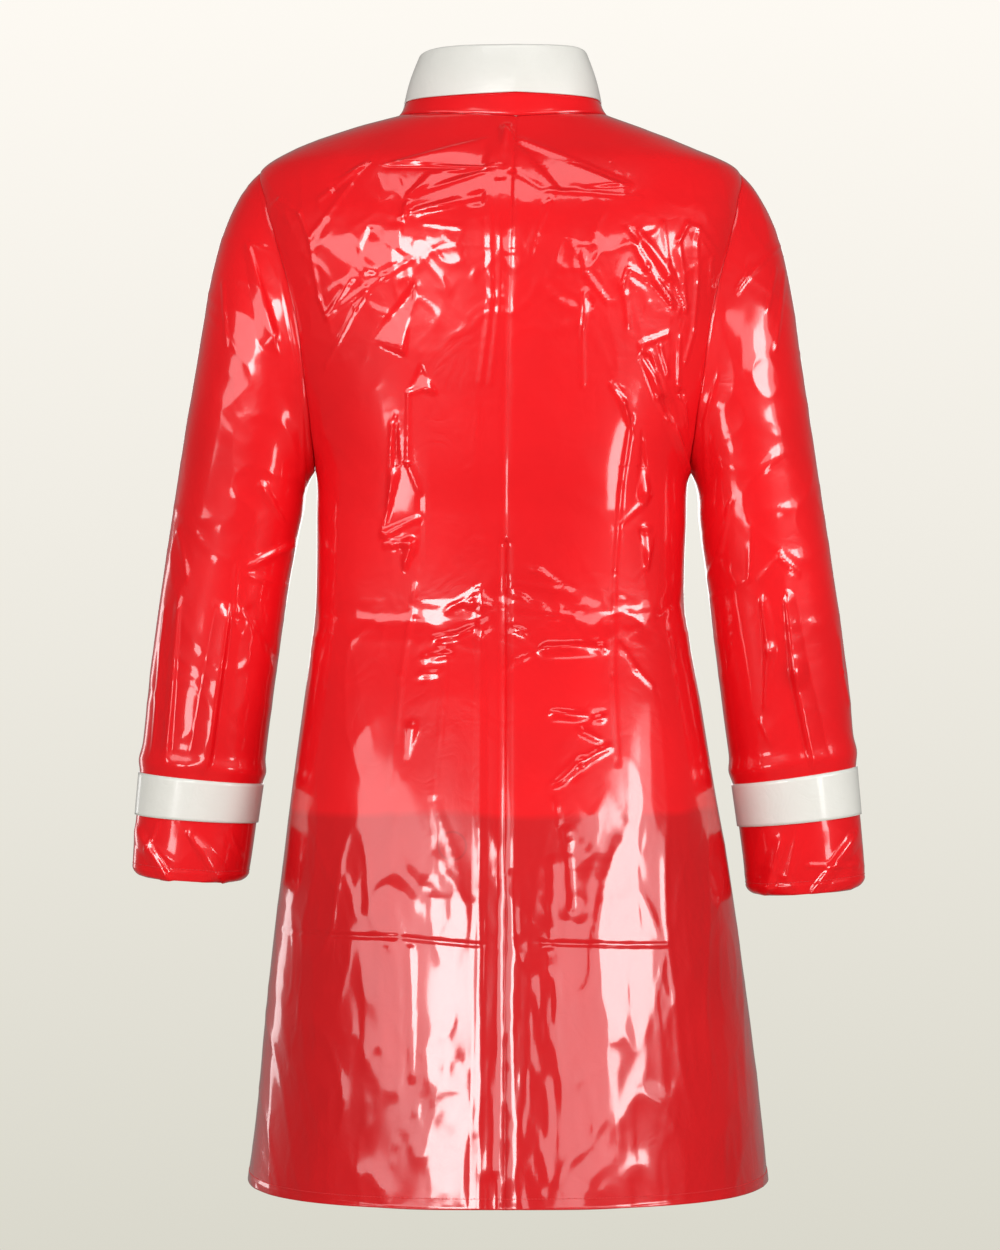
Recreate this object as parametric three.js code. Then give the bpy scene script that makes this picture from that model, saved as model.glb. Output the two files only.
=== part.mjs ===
// A knee-length raincoat of glossy film, held open in its worn shape with nobody in it.
// Units are millimetres. X points to the wearer's right, Y forwards and Z up.
// The origin lies midway between the two side neck points, where the wearer's neck carries the coat.
import * as THREE from "three";

// Driving dimensions
const WALL = 1.5; // thickness of every cloth wall
const SEAM_GAP = 0.3; // clear space between two pieces that are sewn together
const HEM_HEIGHT = -887; // the lower edge of the coat
const UNDERARM_HEIGHT = -296; // the armhole's lowest point
const SHOULDER_TIP_HEIGHT = -46; // the armhole's highest point
const ARMHOLE_DEPTH = { back: 60, front: 58 }; // how far the armhole reaches behind and before the side seam
const NECK_DROP = { back: 8, front: 60 }; // how far the neckline dips at centre back and centre front
const HEM_RISE = { back: 8, front: 0 }; // how much higher the hem is in the middle than at the sides
const HEM_RISE_START = -700; // the height below which the cloth takes up that rise
const LAP_EDGE_X = -65; // the right front laps over the left front to this line
const UNDERLAP_X = 15; // the left front runs on under the lap to this line
const LAP_RAISE = 2.1; // how far the lap stands proud of the left front's outer face
const STUD_X = -45; // the press studs' column on the lap
const STUD_RADIUS = 12.3;
const STUD_THICKNESS = 3.4;
const STUD_CLEARANCE = 0.4; // between a stud and the lap
const STUD_HEIGHTS = [-80, -215, -350, -485, -620];
const BAND_CLEARANCE = 0.3; // between a sleeve and the white band round it

// How finely each form is divided
const ARMHOLE_STEPS = 12; // rows of a torso panel along one half of the armhole
const SLEEVE_SIDES = 2 * ARMHOLE_STEPS;
const STUD_SIDES = 16;

// The torso's level sections. back and front are its depths behind and before the side seams,
// lean moves its two sides and seam moves its centre back line, both to the wearer's right, as the coat
// hangs a little unevenly. power shapes the section: 2 is an ellipse, more is squarer.
const SECTIONS = table(
  ["height", "halfWidth", "back", "front", "lean", "seam", "power"],
  [
    [-887, 217, 205, 165, 3.6, 0.8, 2.15],
    [-825, 210, 190, 159, 4.2, 0.9, 2.15],
    [-758, 203, 174, 151, 3.4, 1, 2.15],
    [-690, 195, 158, 142, 2.1, 1.1, 2.15],
    [-623, 186, 142, 131, 1.3, 1.3, 2.15],
    [-556, 176, 125.5, 120, -0.4, 1.5, 2.2],
    [-489, 166, 107.5, 110, -1.3, 1.6, 2.25],
    [-438, 158, 92, 104, -2.5, 1.7, 2.3],
    [-405, 154.5, 86, 103, -2.9, 1.7, 2.3],
    [-338, 155, 90, 110, -1.7, 1.8, 2.3],
    [-296, 157, 97, 118, -1, 2, 2.3],
    [-262, 170, 101, 122, -1, 2.3, 2.25],
    [-215, 188, 106, 122, -1, 3, 2.2],
    [-171, 197, 110, 113, -1.5, 4, 2.2],
    [-120, 203, 113.5, 98, -2, 5.5, 2.25],
    [-100, 205, 112, 91, -2.2, 6.2, 2.25],
    [-80, 206, 107, 83, -2.5, 7, 2.25],
    [-46, 200, 91, 70, -3.4, 8.5, 2.2],
    [-27, 165, 76, 61, -8, 9.5, 2.2],
    [-10, 120, 62, 52, -6, 10, 2.15],
    [0, 88, 53, 46, -0.5, 10, 2.1],
    [8, 70, 44, 40, 0, 10, 2.1],
  ],
);

// The panels' rows below the armhole and above it, as heights at the panel's outer edge.
const HEM_ROWS = [-887, -872, -825, -770, -725, -686, -674, -662];
const SKIRT_ROWS = [...HEM_ROWS, -620, -575, -530, -485, -445, -405, -375, -348, -320];
const SHOULDER_ROWS = [-36, -27, -18, -10, -4, 0];

// The panels' columns: first at set distances from the centre line, then as shares of the rest of the way.
const BACK_SHARES = [0.08, 0.16, 0.23, 0.3, 0.36, 0.42, 0.5, 0.6, 0.7, 0.8, 0.9, 1];
const FRONT_SHARES = [0.14, 0.28, 0.43, 0.58, 0.72, 0.86, 1];
const COLUMNS = {
  back: { near: [SEAM_GAP / 2, 6, 14, 19, 25], shares: BACK_SHARES },
  lap: { near: [LAP_EDGE_X, -45, -25, -6, 6, 15, 30, 45, 65], shares: FRONT_SHARES },
  underlap: { near: [-UNDERLAP_X, -6, 6, 25, 45, 65], shares: FRONT_SHARES },
};

// The sleeves, as stations from armhole to cuff. The outer and inner lines are the sleeve's outline seen from
// behind, as distances from the middle of the coat; depth is half the sleeve's thickness fore and aft.
const SLEEVE_COLUMNS = ["station", "outX", "outHeight", "inX", "inHeight", "depth", "forward"];
const LEFT_SLEEVE = table(SLEEVE_COLUMNS, [
  [0, 203.4, -46, 158, -296, 59, -1],
  [1, 214, -57, 159, -298, 60, 0],
  [2, 228, -80, 161.5, -302, 61, 1],
  [3, 240, -113, 164, -308, 61, 1],
  [4, 249, -155, 166.5, -317, 60, 2],
  [5, 257, -202, 168, -330, 58, 3],
  [6, 266, -255, 172.5, -350, 55, 4],
  [7, 275, -310, 178, -378, 52, 6],
  [8, 284, -368, 184, -414, 49, 8],
  [9, 293, -428, 190.5, -458, 47, 11],
  [10, 300, -484, 197, -505, 45, 14],
  [11, 306, -540, 203, -551, 42, 17],
  [12, 310.5, -585, 209, -592, 40, 20],
  [13, 313, -616, 213.5, -623, 38, 21],
  [14, 314, -637, 217, -643, 37, 22],
]);
const RIGHT_SLEEVE = table(SLEEVE_COLUMNS, [
  [0, 196.6, -46, 156, -296, 59, -1],
  [1, 208, -58, 157, -298, 60, 0],
  [2, 223, -82, 159, -302, 61, 1],
  [3, 234, -113, 161.5, -309, 61, 1],
  [4, 243, -155, 163.5, -320, 60, 2],
  [5, 250, -204, 164, -336, 58, 3],
  [6, 258, -258, 167, -358, 55, 4],
  [7, 267, -314, 171, -388, 52, 6],
  [8, 276, -372, 175.5, -424, 49, 8],
  [9, 285, -430, 181, -466, 47, 11],
  [10, 292, -487, 187, -512, 45, 14],
  [11, 297.5, -545, 194, -560, 42, 17],
  [12, 302, -592, 200, -602, 40, 20],
  [13, 305, -625, 204, -633, 38, 21],
  [14, 306, -647, 206, -654, 37, 22],
]);
const BAND_STATIONS = { left: [11.2, 12.02], right: [11.0, 11.84] };

// The largest folds of the torso, each along a straight line on one face; a negative rise is a groove.
const FOLDS = table(
  ["face", "x1", "height1", "x2", "height2", "rise", "width"],
  [
    ["back", 4, -20, 1, -900, -1.6, 4], // the centre back seam's groove
    ["back", -15, -60, -20, -900, 1.2, 4], // the edge of its allowance showing through
    ["back", -77, -234, -69, -340, -3, 8], // the left waist dart, in two stretches
    ["back", -69, -340, -90, -550, -3, 8],
    ["back", 100, -271, 84, -400, -3, 8], // the right waist dart
    ["back", 84, -400, 89, -549, -3, 8],
    ["back", -174, -671, -19, -676, -4, 8], // the folding creases across the skirt
    ["back", 27, -674, 128, -674, -4, 8],
    ["back", -150, -90, -138, -235, 7, 13], // the bow of cloth behind the left armhole
    ["back", -152, -160, -100, -128, 6, 13],
    ["back", -128, -160, -70, -100, 5, 14], // drag lines from the left shoulder blade
    ["back", -76, -190, -66, -262, 6, 12],
    ["back", 66, -116, 80, -235, 6, 12], // the long fold down from the right shoulder blade
    ["back", 100, -100, 148, -215, 6, 13], // the folds behind the right armhole
    ["back", 150, -110, 158, -230, 6, 11],
    ["back", 118, -195, 150, -330, 6, 12],
    ["back", -110, -320, -60, -360, 5, 13], // slack over the back of the waist
    ["back", 10, -405, 80, -415, 4, 10],
    ["back", -75, -445, -20, -420, 4, 10],
    ["front", -80, -250, -60, -420, -3, 12], // the shaping below the bust
    ["front", 80, -250, 60, -420, -3, 12],
    ["front", -150, -110, -140, -230, 6, 13], // slack before each armhole
    ["front", 148, -110, 140, -230, 6, 13],
  ],
);

// The sleeves' largest folds, from one turn in degrees and station to another; 90 degrees is the back.
const SLEEVE_FOLDS = table(
  ["side", "turn1", "station1", "turn2", "station2", "rise", "spread"],
  [
    ["left", 40, 3, 95, 7, 4, 0.5],
    ["left", 110, 4, 75, 6, 3, 0.4],
    ["left", 130, 8, 70, 10, 3, 0.4],
    ["left", 40, 9.4, 110, 10, 2.5, 0.4],
    ["right", 40, 3, 95, 7, 4, 0.5],
    ["right", 130, 8, 80, 9.5, 3, 0.4],
    ["right", 40, 9.2, 100, 9.6, 2.5, 0.4],
    ["left", 280, 7, 240, 9, 4, 0.5],
    ["right", 280, 7, 240, 9, 4, 0.5],
  ],
);

// The collar's measurements round the neck. turn is 0 at centre back, 90 at the side and 180 at centre
// front. rise and lean take the stand to its top, and fallRise and fallOut place the fall's lower edge.
const COLLAR = table(
  ["turn", "rise", "lean", "fallRise", "fallOut"],
  [
    [0, 58, 8, 20, -1],
    [45, 54, 13, 17, -2.6],
    [90, 46, 20, 12, -5],
    [105, 44, 19.5, 10, -1],
    [120, 42, 18, 6, 4],
    [140, 39, 14, -6, 9],
    [160, 36, 10, -20, 15],
    [180, 34, 8, -22, 17],
  ],
);
const STAND_CURVE = 0.75; // how quickly the stand leans in above the neckline
const COLLAR_END_X = 6; // the stand's ends stop this far short of centre front
const COLLAR_SPREAD = 0.12; // the share of its turn by which the fall's lower edge stops short at the front

// The faces of the torso: which way each lies from the side seams.
const FACES = { back: -1, front: 1 };
const SIDES = { left: -1, right: 1 };
const QUARTER = Math.PI / 2;

// A table's rows as objects with the columns' names.
function table(columns, rows) {
  return rows.map((row) => Object.fromEntries(columns.map((name, i) => [name, row[i]])));
}

// A column read smoothly between a table's rows: a cubic whose slope at each row is that of its neighbours.
function smooth(rows, key, column, at) {
  const last = rows.length - 1;
  const place = Math.min(Math.max(at, rows[0][key]), rows[last][key]);
  let i = 0;
  while (i < last - 1 && rows[i + 1][key] < place) i += 1;
  const slopeAt = (k) => {
    const a = rows[Math.max(k - 1, 0)];
    const b = rows[Math.min(k + 1, last)];
    return (b[column] - a[column]) / (b[key] - a[key]);
  };
  const span = rows[i + 1][key] - rows[i][key];
  const t = (place - rows[i][key]) / span;
  const [start, end] = [rows[i][column], rows[i + 1][column]];
  const [leave, arrive] = [slopeAt(i) * span, slopeAt(i + 1) * span];
  return (
    (1 + 2 * t) * (1 - t) * (1 - t) * start +
    t * (1 - t) * (1 - t) * leave +
    t * t * (3 - 2 * t) * end +
    t * t * (t - 1) * arrive
  );
}

const signedPower = (value, power) => Math.sign(value) * Math.abs(value) ** power;
const clamp = (value, low, high) => Math.min(Math.max(value, low), high);
const easeIn = (value) => value * value * (3 - 2 * value);
const mix = (a, b, share) => a + (b - a) * share;

// The bare torso at an angle round it and a height: a superellipse that grows and shrinks with height.
// The angle is 0 at the wearer's right side and a quarter turn at centre front.
function torso(angle, height) {
  const read = (column) => smooth(SECTIONS, "height", column, height);
  const power = 2 / read("power");
  const depth = Math.sin(angle) > 0 ? read("front") : read("back");
  const lean = read("lean") * Math.cos(angle) ** 2 + read("seam") * Math.max(-Math.sin(angle), 0) ** 2;
  return new THREE.Vector3(
    lean + read("halfWidth") * signedPower(Math.cos(angle), power),
    depth * signedPower(Math.sin(angle), power),
    height,
  );
}

// The outward direction of a surface given as a function of two parameters.
function outward(surface, u, v, stepU, stepV) {
  const alongU = surface(u + stepU, v).sub(surface(u - stepU, v));
  const alongV = surface(u, v + stepV).sub(surface(u, v - stepV));
  return alongU.cross(alongV).normalize();
}

const torsoOutward = (angle, height) => outward(torso, angle, height, 0.02, 1);

// How far the folds lift a point of the torso: each is a bell across its line, fading past its ends.
function foldLift(point) {
  const face = point.y < 0 ? "back" : "front";
  let lift = 0;
  for (const fold of FOLDS.filter((row) => row.face === face)) {
    const [dx, dz] = [fold.x2 - fold.x1, fold.height2 - fold.height1];
    const along = ((point.x - fold.x1) * dx + (point.z - fold.height1) * dz) / (dx * dx + dz * dz);
    const t = clamp(along, 0, 1);
    const off = Math.hypot(point.x - fold.x1 - t * dx, point.z - fold.height1 - t * dz);
    lift += fold.rise * Math.exp(-((off / fold.width) ** 2));
  }
  return lift;
}

// The torso with its folds at a share of their full height, and an extra lift.
function cloth(angle, height, folding, extra) {
  const point = torso(angle, height);
  return point.addScaledVector(torsoOutward(angle, height), extra + foldLift(point) * folding);
}

// The angle of a point x millimetres from the centre line, as a turn from that line towards the side.
function turnAtX(x, height) {
  const share = clamp(x / smooth(SECTIONS, "height", "halfWidth", height), -1, 1);
  return Math.asin(signedPower(share, smooth(SECTIONS, "height", "power", height) / 2));
}

// The distance from the middle at a turn, the other way round.
function xAtTurn(turn, height) {
  const power = 2 / smooth(SECTIONS, "height", "power", height);
  return smooth(SECTIONS, "height", "halfWidth", height) * signedPower(Math.sin(turn), power);
}

// The turn at which a face of the torso is y millimetres from the side seam's plane.
function turnAtDepth(face, y, height) {
  const share = y / smooth(SECTIONS, "height", face, height);
  return Math.acos(signedPower(share, smooth(SECTIONS, "height", "power", height) / 2));
}

const angleOf = (face, side, turn) => FACES[face] * QUARTER - FACES[face] * SIDES[side] * turn;

// Armhole
const ARMHOLE_MIDDLE = (UNDERARM_HEIGHT + SHOULDER_TIP_HEIGHT) / 2;
const ARMHOLE_HALF = (SHOULDER_TIP_HEIGHT - UNDERARM_HEIGHT) / 2;
const armholeHeight = (around) => ARMHOLE_MIDDLE + ARMHOLE_HALF * Math.cos(around);

// The armhole's edge, around being 0 at the shoulder tip, a quarter at the back and a half at the underarm.
function armholeAngle(side, around) {
  const face = Math.sin(around) >= 0 ? "back" : "front";
  const depth = Math.max(ARMHOLE_DEPTH[face] * Math.abs(Math.sin(around)), SEAM_GAP / 2);
  return angleOf(face, side, turnAtDepth(face, depth, armholeHeight(around)));
}

// Sleeve: rings that fan out from the armhole to the cuff, each spanning from the outer to the inner line.
const SLEEVES = { left: LEFT_SLEEVE, right: RIGHT_SLEEVE };

function sleeveRing(side, around, station) {
  const read = (column) => smooth(SLEEVES[side], "station", column, station);
  const [c, s] = [Math.cos(around), Math.sin(around)];
  return new THREE.Vector3(
    SIDES[side] * mix(read("inX"), read("outX"), (1 + c) / 2),
    read("forward") - read("depth") * s,
    mix(read("inHeight"), read("outHeight"), (1 + c) / 2),
  );
}

// The first ring is the armhole itself, and its shape fades into the plain rings over the first stations.
const ARMHOLE_FADE_STATIONS = 4;
function sleeve(side, around, station) {
  const ring = sleeveRing(side, around, station);
  const fade = (1 - clamp(station / ARMHOLE_FADE_STATIONS, 0, 1)) ** 2;
  const edge = torso(armholeAngle(side, around), armholeHeight(around));
  const lift = sleeveFoldLift(side, around, station);
  ring.x += SIDES[side] * Math.cos(around) * lift;
  ring.y -= Math.sin(around) * lift;
  return ring.addScaledVector(edge.sub(sleeveRing(side, around, 0)), fade);
}

// How far the folds lift a point of a sleeve, where a station counts as FOLD_STATION radians round it.
const FOLD_STATION = 0.9;
function sleeveFoldLift(side, around, station) {
  let lift = 0;
  for (const fold of SLEEVE_FOLDS.filter((row) => row.side === side)) {
    const [turn1, turn2] = [fold.turn1, fold.turn2].map(THREE.MathUtils.degToRad);
    const [da, ds] = [turn2 - turn1, (fold.station2 - fold.station1) * FOLD_STATION];
    const turn = THREE.MathUtils.euclideanModulo(around, 2 * Math.PI);
    const [a, b] = [turn - turn1, (station - fold.station1) * FOLD_STATION];
    const t = clamp((a * da + b * ds) / (da * da + ds * ds), 0, 1);
    lift += fold.rise * Math.exp(-((Math.hypot(a - t * da, b - t * ds) / fold.spread) ** 2));
  }
  return lift;
}

function sleeveOutward(side, around, station) {
  const surface = (a, t) => sleeve(side, a, t);
  return outward(surface, around, station, 0.02, 0.1).multiplyScalar(SIDES[side]);
}

// The mitre where torso and sleeve meet: both walls end on the plane that halves the angle between them.
function armholeMitre(side, around) {
  const torsoSide = torsoOutward(armholeAngle(side, around), armholeHeight(around));
  const sleeveSide = sleeveOutward(side, around, 0.15);
  const middle = torsoSide.clone().add(sleeveSide).normalize();
  const stretch = Math.min(1 / Math.max(middle.dot(torsoSide), 0.5), 1.6);
  return middle.multiplyScalar(stretch);
}

// A closed wall from two grids of points, inner under outer. A ring's columns join up all round.
function wall(outer, inner, isRing = false) {
  const [rows, columns] = [outer.length, outer[0].length];
  const points = [...outer.flat(), ...inner.flat()];
  const index = (layer, i, j) => layer * rows * columns + i * columns + (j % columns);
  const faces = [];
  const quad = (a, b, c, d) => faces.push(a, b, c, a, c, d);
  const across = isRing ? columns : columns - 1;
  for (let i = 0; i < rows - 1; i += 1) {
    for (let j = 0; j < across; j += 1) {
      quad(index(0, i, j), index(0, i, j + 1), index(0, i + 1, j + 1), index(0, i + 1, j));
      quad(index(1, i, j), index(1, i + 1, j), index(1, i + 1, j + 1), index(1, i, j + 1));
    }
  }
  for (let j = 0; j < across; j += 1) {
    quad(index(0, 0, j), index(1, 0, j), index(1, 0, j + 1), index(0, 0, j + 1));
    quad(index(0, rows - 1, j), index(0, rows - 1, j + 1), index(1, rows - 1, j + 1), index(1, rows - 1, j));
  }
  for (let i = 0; i < rows - 1 && !isRing; i += 1) {
    quad(index(0, i, 0), index(0, i + 1, 0), index(1, i + 1, 0), index(1, i, 0));
    quad(index(0, i, across), index(1, i, across), index(1, i + 1, across), index(0, i + 1, across));
  }
  return facingOut(points, faces);
}

// A mesh's geometry, with its faces turned round if they point inwards.
function facingOut(points, faces) {
  let volume = 0;
  for (let i = 0; i < faces.length; i += 3) {
    const [a, b, c] = [points[faces[i]], points[faces[i + 1]], points[faces[i + 2]]];
    volume += a.dot(new THREE.Vector3().crossVectors(b, c));
  }
  const turned = volume < 0 ? faces.reverse() : faces;
  const geometry = new THREE.BufferGeometry();
  geometry.setAttribute("position", new THREE.Float32BufferAttribute(points.flatMap((p) => p.toArray()), 3));
  geometry.setIndex(turned);
  return geometry;
}

const under = (point, direction) => point.clone().addScaledVector(direction, -WALL);

// Torso panels: rows run level from the centre line to the side seam, the armhole or the shoulder seam.
const armholeSteps = Array.from({ length: ARMHOLE_STEPS + 1 }, (_, k) => Math.PI * (1 - k / ARMHOLE_STEPS));
const ROWS = [
  ...SKIRT_ROWS.map((height) => ({ height, around: null })),
  ...armholeSteps.map((around) => ({ height: armholeHeight(around), around })),
  ...SHOULDER_ROWS.map((height) => ({ height, around: null })),
];

// How far a row has dipped at a share of its way out: nothing at its outer end, the most at the centre line.
// The hem rises a little towards the centre of the back instead.
const NECK_FULLNESS = 0.36;
function dip(face, rowHeight, share) {
  const strength = easeIn(clamp(1 - rowHeight / ARMHOLE_MIDDLE, 0, 1));
  const neck = NECK_DROP[face] * strength * (1 - share) * (1 + NECK_FULLNESS * share);
  const hemwards = clamp((HEM_RISE_START - rowHeight) / (HEM_RISE_START - HEM_HEIGHT), 0, 1);
  return neck - HEM_RISE[face] * easeIn(hemwards) * (1 - share * share);
}

// The columns of a row, each with its distance x from the middle, its height, its turn from the centre line
// and how strongly the folds show there: they die out before the side seams and the armholes.
const FOLD_END_TURN = 0.14;
function rowPlaces(face, row, columns) {
  const seamDepth = row.around === null ? 0 : ARMHOLE_DEPTH[face] * Math.sin(row.around);
  const lastTurn = turnAtDepth(face, Math.max(seamDepth, SEAM_GAP / 2), row.height);
  const nearEnd = columns.near[columns.near.length - 1];
  const nearTurn = turnAtX(nearEnd, row.height);
  const farXs = columns.shares.map((share) => xAtTurn(mix(nearTurn, lastTurn, share), row.height));
  const endX = xAtTurn(lastTurn, row.height);
  return [...columns.near, ...farXs].map((x) => {
    const height = row.height - dip(face, row.height, Math.abs(x) / endX);
    const turn = turnAtX(x, height);
    return { x, height, turn, folding: clamp((lastTurn - turn) / FOLD_END_TURN, 0, 1) };
  });
}

// A panel of the torso. lift raises its cloth at each x.
function panel(face, side, columns, lift = () => 0) {
  const outer = [];
  const inner = [];
  for (const row of ROWS) {
    const around = face === "back" ? row.around : -row.around;
    const places = rowPlaces(face, row, columns);
    const points = places.map(({ height, turn, folding }, i) => {
      const angle = angleOf(face, side, turn);
      const outside = cloth(angle, height, folding, lift(torso(angle, height).x));
      const meetsSleeve = row.around !== null && i === places.length - 1;
      const direction = meetsSleeve ? armholeMitre(side, around) : torsoOutward(angle, height);
      return { outside, inside: under(outside, direction) };
    });
    outer.push(points.map((p) => p.outside));
    inner.push(points.map((p) => p.inside));
  }
  return wall(outer, inner);
}

// The lap's height above the left front: full over the left front, and down to nothing past its edge.
const LAP_RAMP = 20;
const lapLift = (x) => LAP_RAISE * easeIn(clamp((UNDERLAP_X + 10 + LAP_RAMP - x) / LAP_RAMP, 0, 1));

// Sleeves and bands
function sleeveWall(side) {
  const stations = SLEEVES[side].map((row) => row.station);
  const arounds = Array.from({ length: SLEEVE_SIDES }, (_, k) => (2 * Math.PI * k) / SLEEVE_SIDES);
  const outer = [];
  const inner = [];
  for (const station of stations) {
    const points = arounds.map((around) => {
      if (station > 0) {
        const outside = sleeve(side, around, station);
        return { outside, inside: under(outside, sleeveOutward(side, around, station)) };
      }
      const mitre = armholeMitre(side, around);
      const ahead = sleeve(side, around + 0.02, 0).sub(sleeve(side, around - 0.02, 0));
      const away = ahead.cross(mitre).normalize();
      const onward = sleeve(side, around, 0.3).sub(sleeve(side, around, 0));
      const outside = sleeve(side, around, 0).addScaledVector(away, SEAM_GAP * Math.sign(away.dot(onward)));
      return { outside, inside: under(outside, mitre) };
    });
    outer.push(points.map((p) => p.outside));
    inner.push(points.map((p) => p.inside));
  }
  return wall(outer, inner, true);
}

const BAND_ROWS = 3;
function bandWall(side) {
  const [start, end] = BAND_STATIONS[side];
  const layer = (offset) =>
    Array.from({ length: BAND_ROWS }, (_, i) =>
      Array.from({ length: SLEEVE_SIDES }, (_, k) => {
        const around = (2 * Math.PI * k) / SLEEVE_SIDES;
        const station = mix(start, end, i / (BAND_ROWS - 1));
        return sleeve(side, around, station).addScaledVector(sleeveOutward(side, around, station), offset);
      }),
    );
  return wall(layer(BAND_CLEARANCE + WALL), layer(BAND_CLEARANCE), true);
}

// Collar: the neckline at a signed turn in degrees, 0 at centre back and positive to the wearer's right.
const NECK_HALF_WIDTH = smooth(SECTIONS, "height", "halfWidth", 0);
function neckline(turnDegrees) {
  const sine = Math.sin(THREE.MathUtils.degToRad(turnDegrees));
  const face = Math.abs(turnDegrees) > 90 ? "front" : "back";
  const side = sine > 0 ? "right" : "left";
  const height = -dip(face, 0, Math.abs(sine));
  return torso(angleOf(face, side, turnAtX(Math.abs(sine) * NECK_HALF_WIDTH, height)), height);
}

// The level direction away from the neck, square to the neckline.
function awayFromNeck(turnDegrees) {
  const ahead = neckline(turnDegrees + 1).sub(neckline(turnDegrees - 1));
  return new THREE.Vector3(ahead.y, -ahead.x, 0).normalize();
}

// A point of the stand at a share of its rise.
function stand(turnDegrees, share) {
  const read = (column) => smooth(COLLAR, "turn", column, Math.abs(turnDegrees));
  const inwards = -read("lean") * share ** STAND_CURVE;
  const point = neckline(turnDegrees).addScaledVector(awayFromNeck(turnDegrees), inwards);
  point.z += mix(SEAM_GAP, read("rise"), share);
  return point;
}

// The collar's columns stand over those of the panels' top rows.
function collarTurns() {
  const top = { height: 0, around: null };
  const degrees = (x) => THREE.MathUtils.radToDeg(Math.asin(clamp(x / NECK_HALF_WIDTH, 0, 1)));
  const back = rowPlaces("back", top, COLUMNS.back).map(({ x }) => degrees(x));
  const front = rowPlaces("front", top, COLUMNS.underlap).filter(({ x }) => x >= COLLAR_END_X);
  const half = [...back.slice(1, -1), 90, ...front.map(({ x }) => 180 - degrees(x)).reverse().slice(1)];
  return [...half.map((turn) => -turn).reverse(), 0, ...half];
}

function standWall() {
  const turns = collarTurns();
  const shares = [0, 0.3, 0.65, 1];
  const outer = shares.map((share) => turns.map((turn) => stand(turn, share)));
  const inner = shares.map((share) => turns.map((turn) => under(stand(turn, share), awayFromNeck(turn))));
  return wall(outer, inner);
}

// The fall starts over the stand's top edge, turns over it and hangs outside it down to its lower edge.
// The cap's rows are offsets away from the neck and up, for the outer and the inner face.
const FALL_CAP = table(
  ["outerAway", "outerUp", "innerAway", "innerUp"],
  [
    [-1.5, 1.9, -1.5, 0.35],
    [0.7, 1.9, 0.35, 0.35],
    [2.5, 0.3, 0.9, -0.6],
  ],
);
const FALL_SHARES = [0.35, 0.7, 1];
function fallWall() {
  const outer = [];
  const inner = [];
  const top = (turn) => stand(turn, 1);
  const offset = (turn, away, up) => {
    const point = top(turn).addScaledVector(awayFromNeck(turn), away);
    point.z += up;
    return point;
  };
  const turns = collarTurns();
  for (const row of FALL_CAP) {
    outer.push(turns.map((turn) => offset(turn, row.outerAway, row.outerUp)));
    inner.push(turns.map((turn) => offset(turn, row.innerAway, row.innerUp)));
  }
  const cap = FALL_CAP[FALL_CAP.length - 1];
  for (const share of FALL_SHARES) {
    const hang = (standTurn) => {
      const turn = standTurn * (1 - COLLAR_SPREAD * share * (standTurn / 180) ** 2);
      const read = (column) => smooth(COLLAR, "turn", column, Math.abs(turn));
      const lower = neckline(turn).addScaledVector(awayFromNeck(turn), read("fallOut"));
      lower.z += read("fallRise");
      return offset(turn, cap.outerAway, cap.outerUp).lerp(lower, share);
    };
    outer.push(turns.map(hang));
    inner.push(turns.map((turn) => under(hang(turn), awayFromNeck(turn))));
  }
  return wall(outer, inner);
}

// A press stud's cap: a low dome, turned about its axis and set flat on the lap.
function studMesh(height) {
  const edge = STUD_RADIUS;
  const profile = [
    [0, 0],
    [edge - 0.6, 0],
    [edge, 1],
    [edge - 1.6, STUD_THICKNESS - 0.6],
    [edge * 0.5, STUD_THICKNESS],
    [0, STUD_THICKNESS],
  ].map(([r, y]) => new THREE.Vector2(r, y));
  const mesh = new THREE.Mesh(new THREE.LatheGeometry(profile, STUD_SIDES));
  const angle = angleOf("front", "left", turnAtX(-STUD_X, height));
  const direction = torsoOutward(angle, height);
  mesh.position.copy(cloth(angle, height, 1, LAP_RAISE + STUD_CLEARANCE));
  mesh.quaternion.setFromUnitVectors(new THREE.Vector3(0, 1, 0), direction);
  return mesh;
}

// Materials and assembly
const finish = (color, roughness) => new THREE.MeshStandardMaterial({ color, roughness, metalness: 0 });
const redFilm = finish("#d81f26", 0.12);
const whiteFilm = finish("#e9e8e4", 0.25);
const studPlastic = finish("#c4161d", 0.2);

const coat = new THREE.Group();
function add(name, geometry, material) {
  const mesh = new THREE.Mesh(geometry, material);
  mesh.name = name;
  coat.add(mesh);
}

for (const side of Object.keys(SIDES)) {
  add(`back_${side}`, panel("back", side, COLUMNS.back), redFilm);
  add(`sleeve_${side}`, sleeveWall(side), redFilm);
  add(`sleeve_band_${side}`, bandWall(side), whiteFilm);
}
add("front_left", panel("front", "left", COLUMNS.underlap), redFilm);
add("front_right", panel("front", "right", COLUMNS.lap, lapLift), redFilm);
add("collar_stand", standWall(), redFilm);
add("collar_fall", fallWall(), whiteFilm);
STUD_HEIGHTS.forEach((height, i) => {
  const mesh = studMesh(height);
  mesh.name = `press_stud_${i + 1}`;
  mesh.material = studPlastic;
  coat.add(mesh);
});

export default coat;
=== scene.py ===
"""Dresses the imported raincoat: creased red film, white collar and sleeve bands, studs and studio.

Sizes are in millimetres inside the classes and become metres when a mesh is made. X points to the
wearer's right, Y to the front and Z up, with the origin midway between the two side neck points.
"""

import logging
import math
from dataclasses import dataclass, field
from enum import Enum
from typing import Sequence

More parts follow.
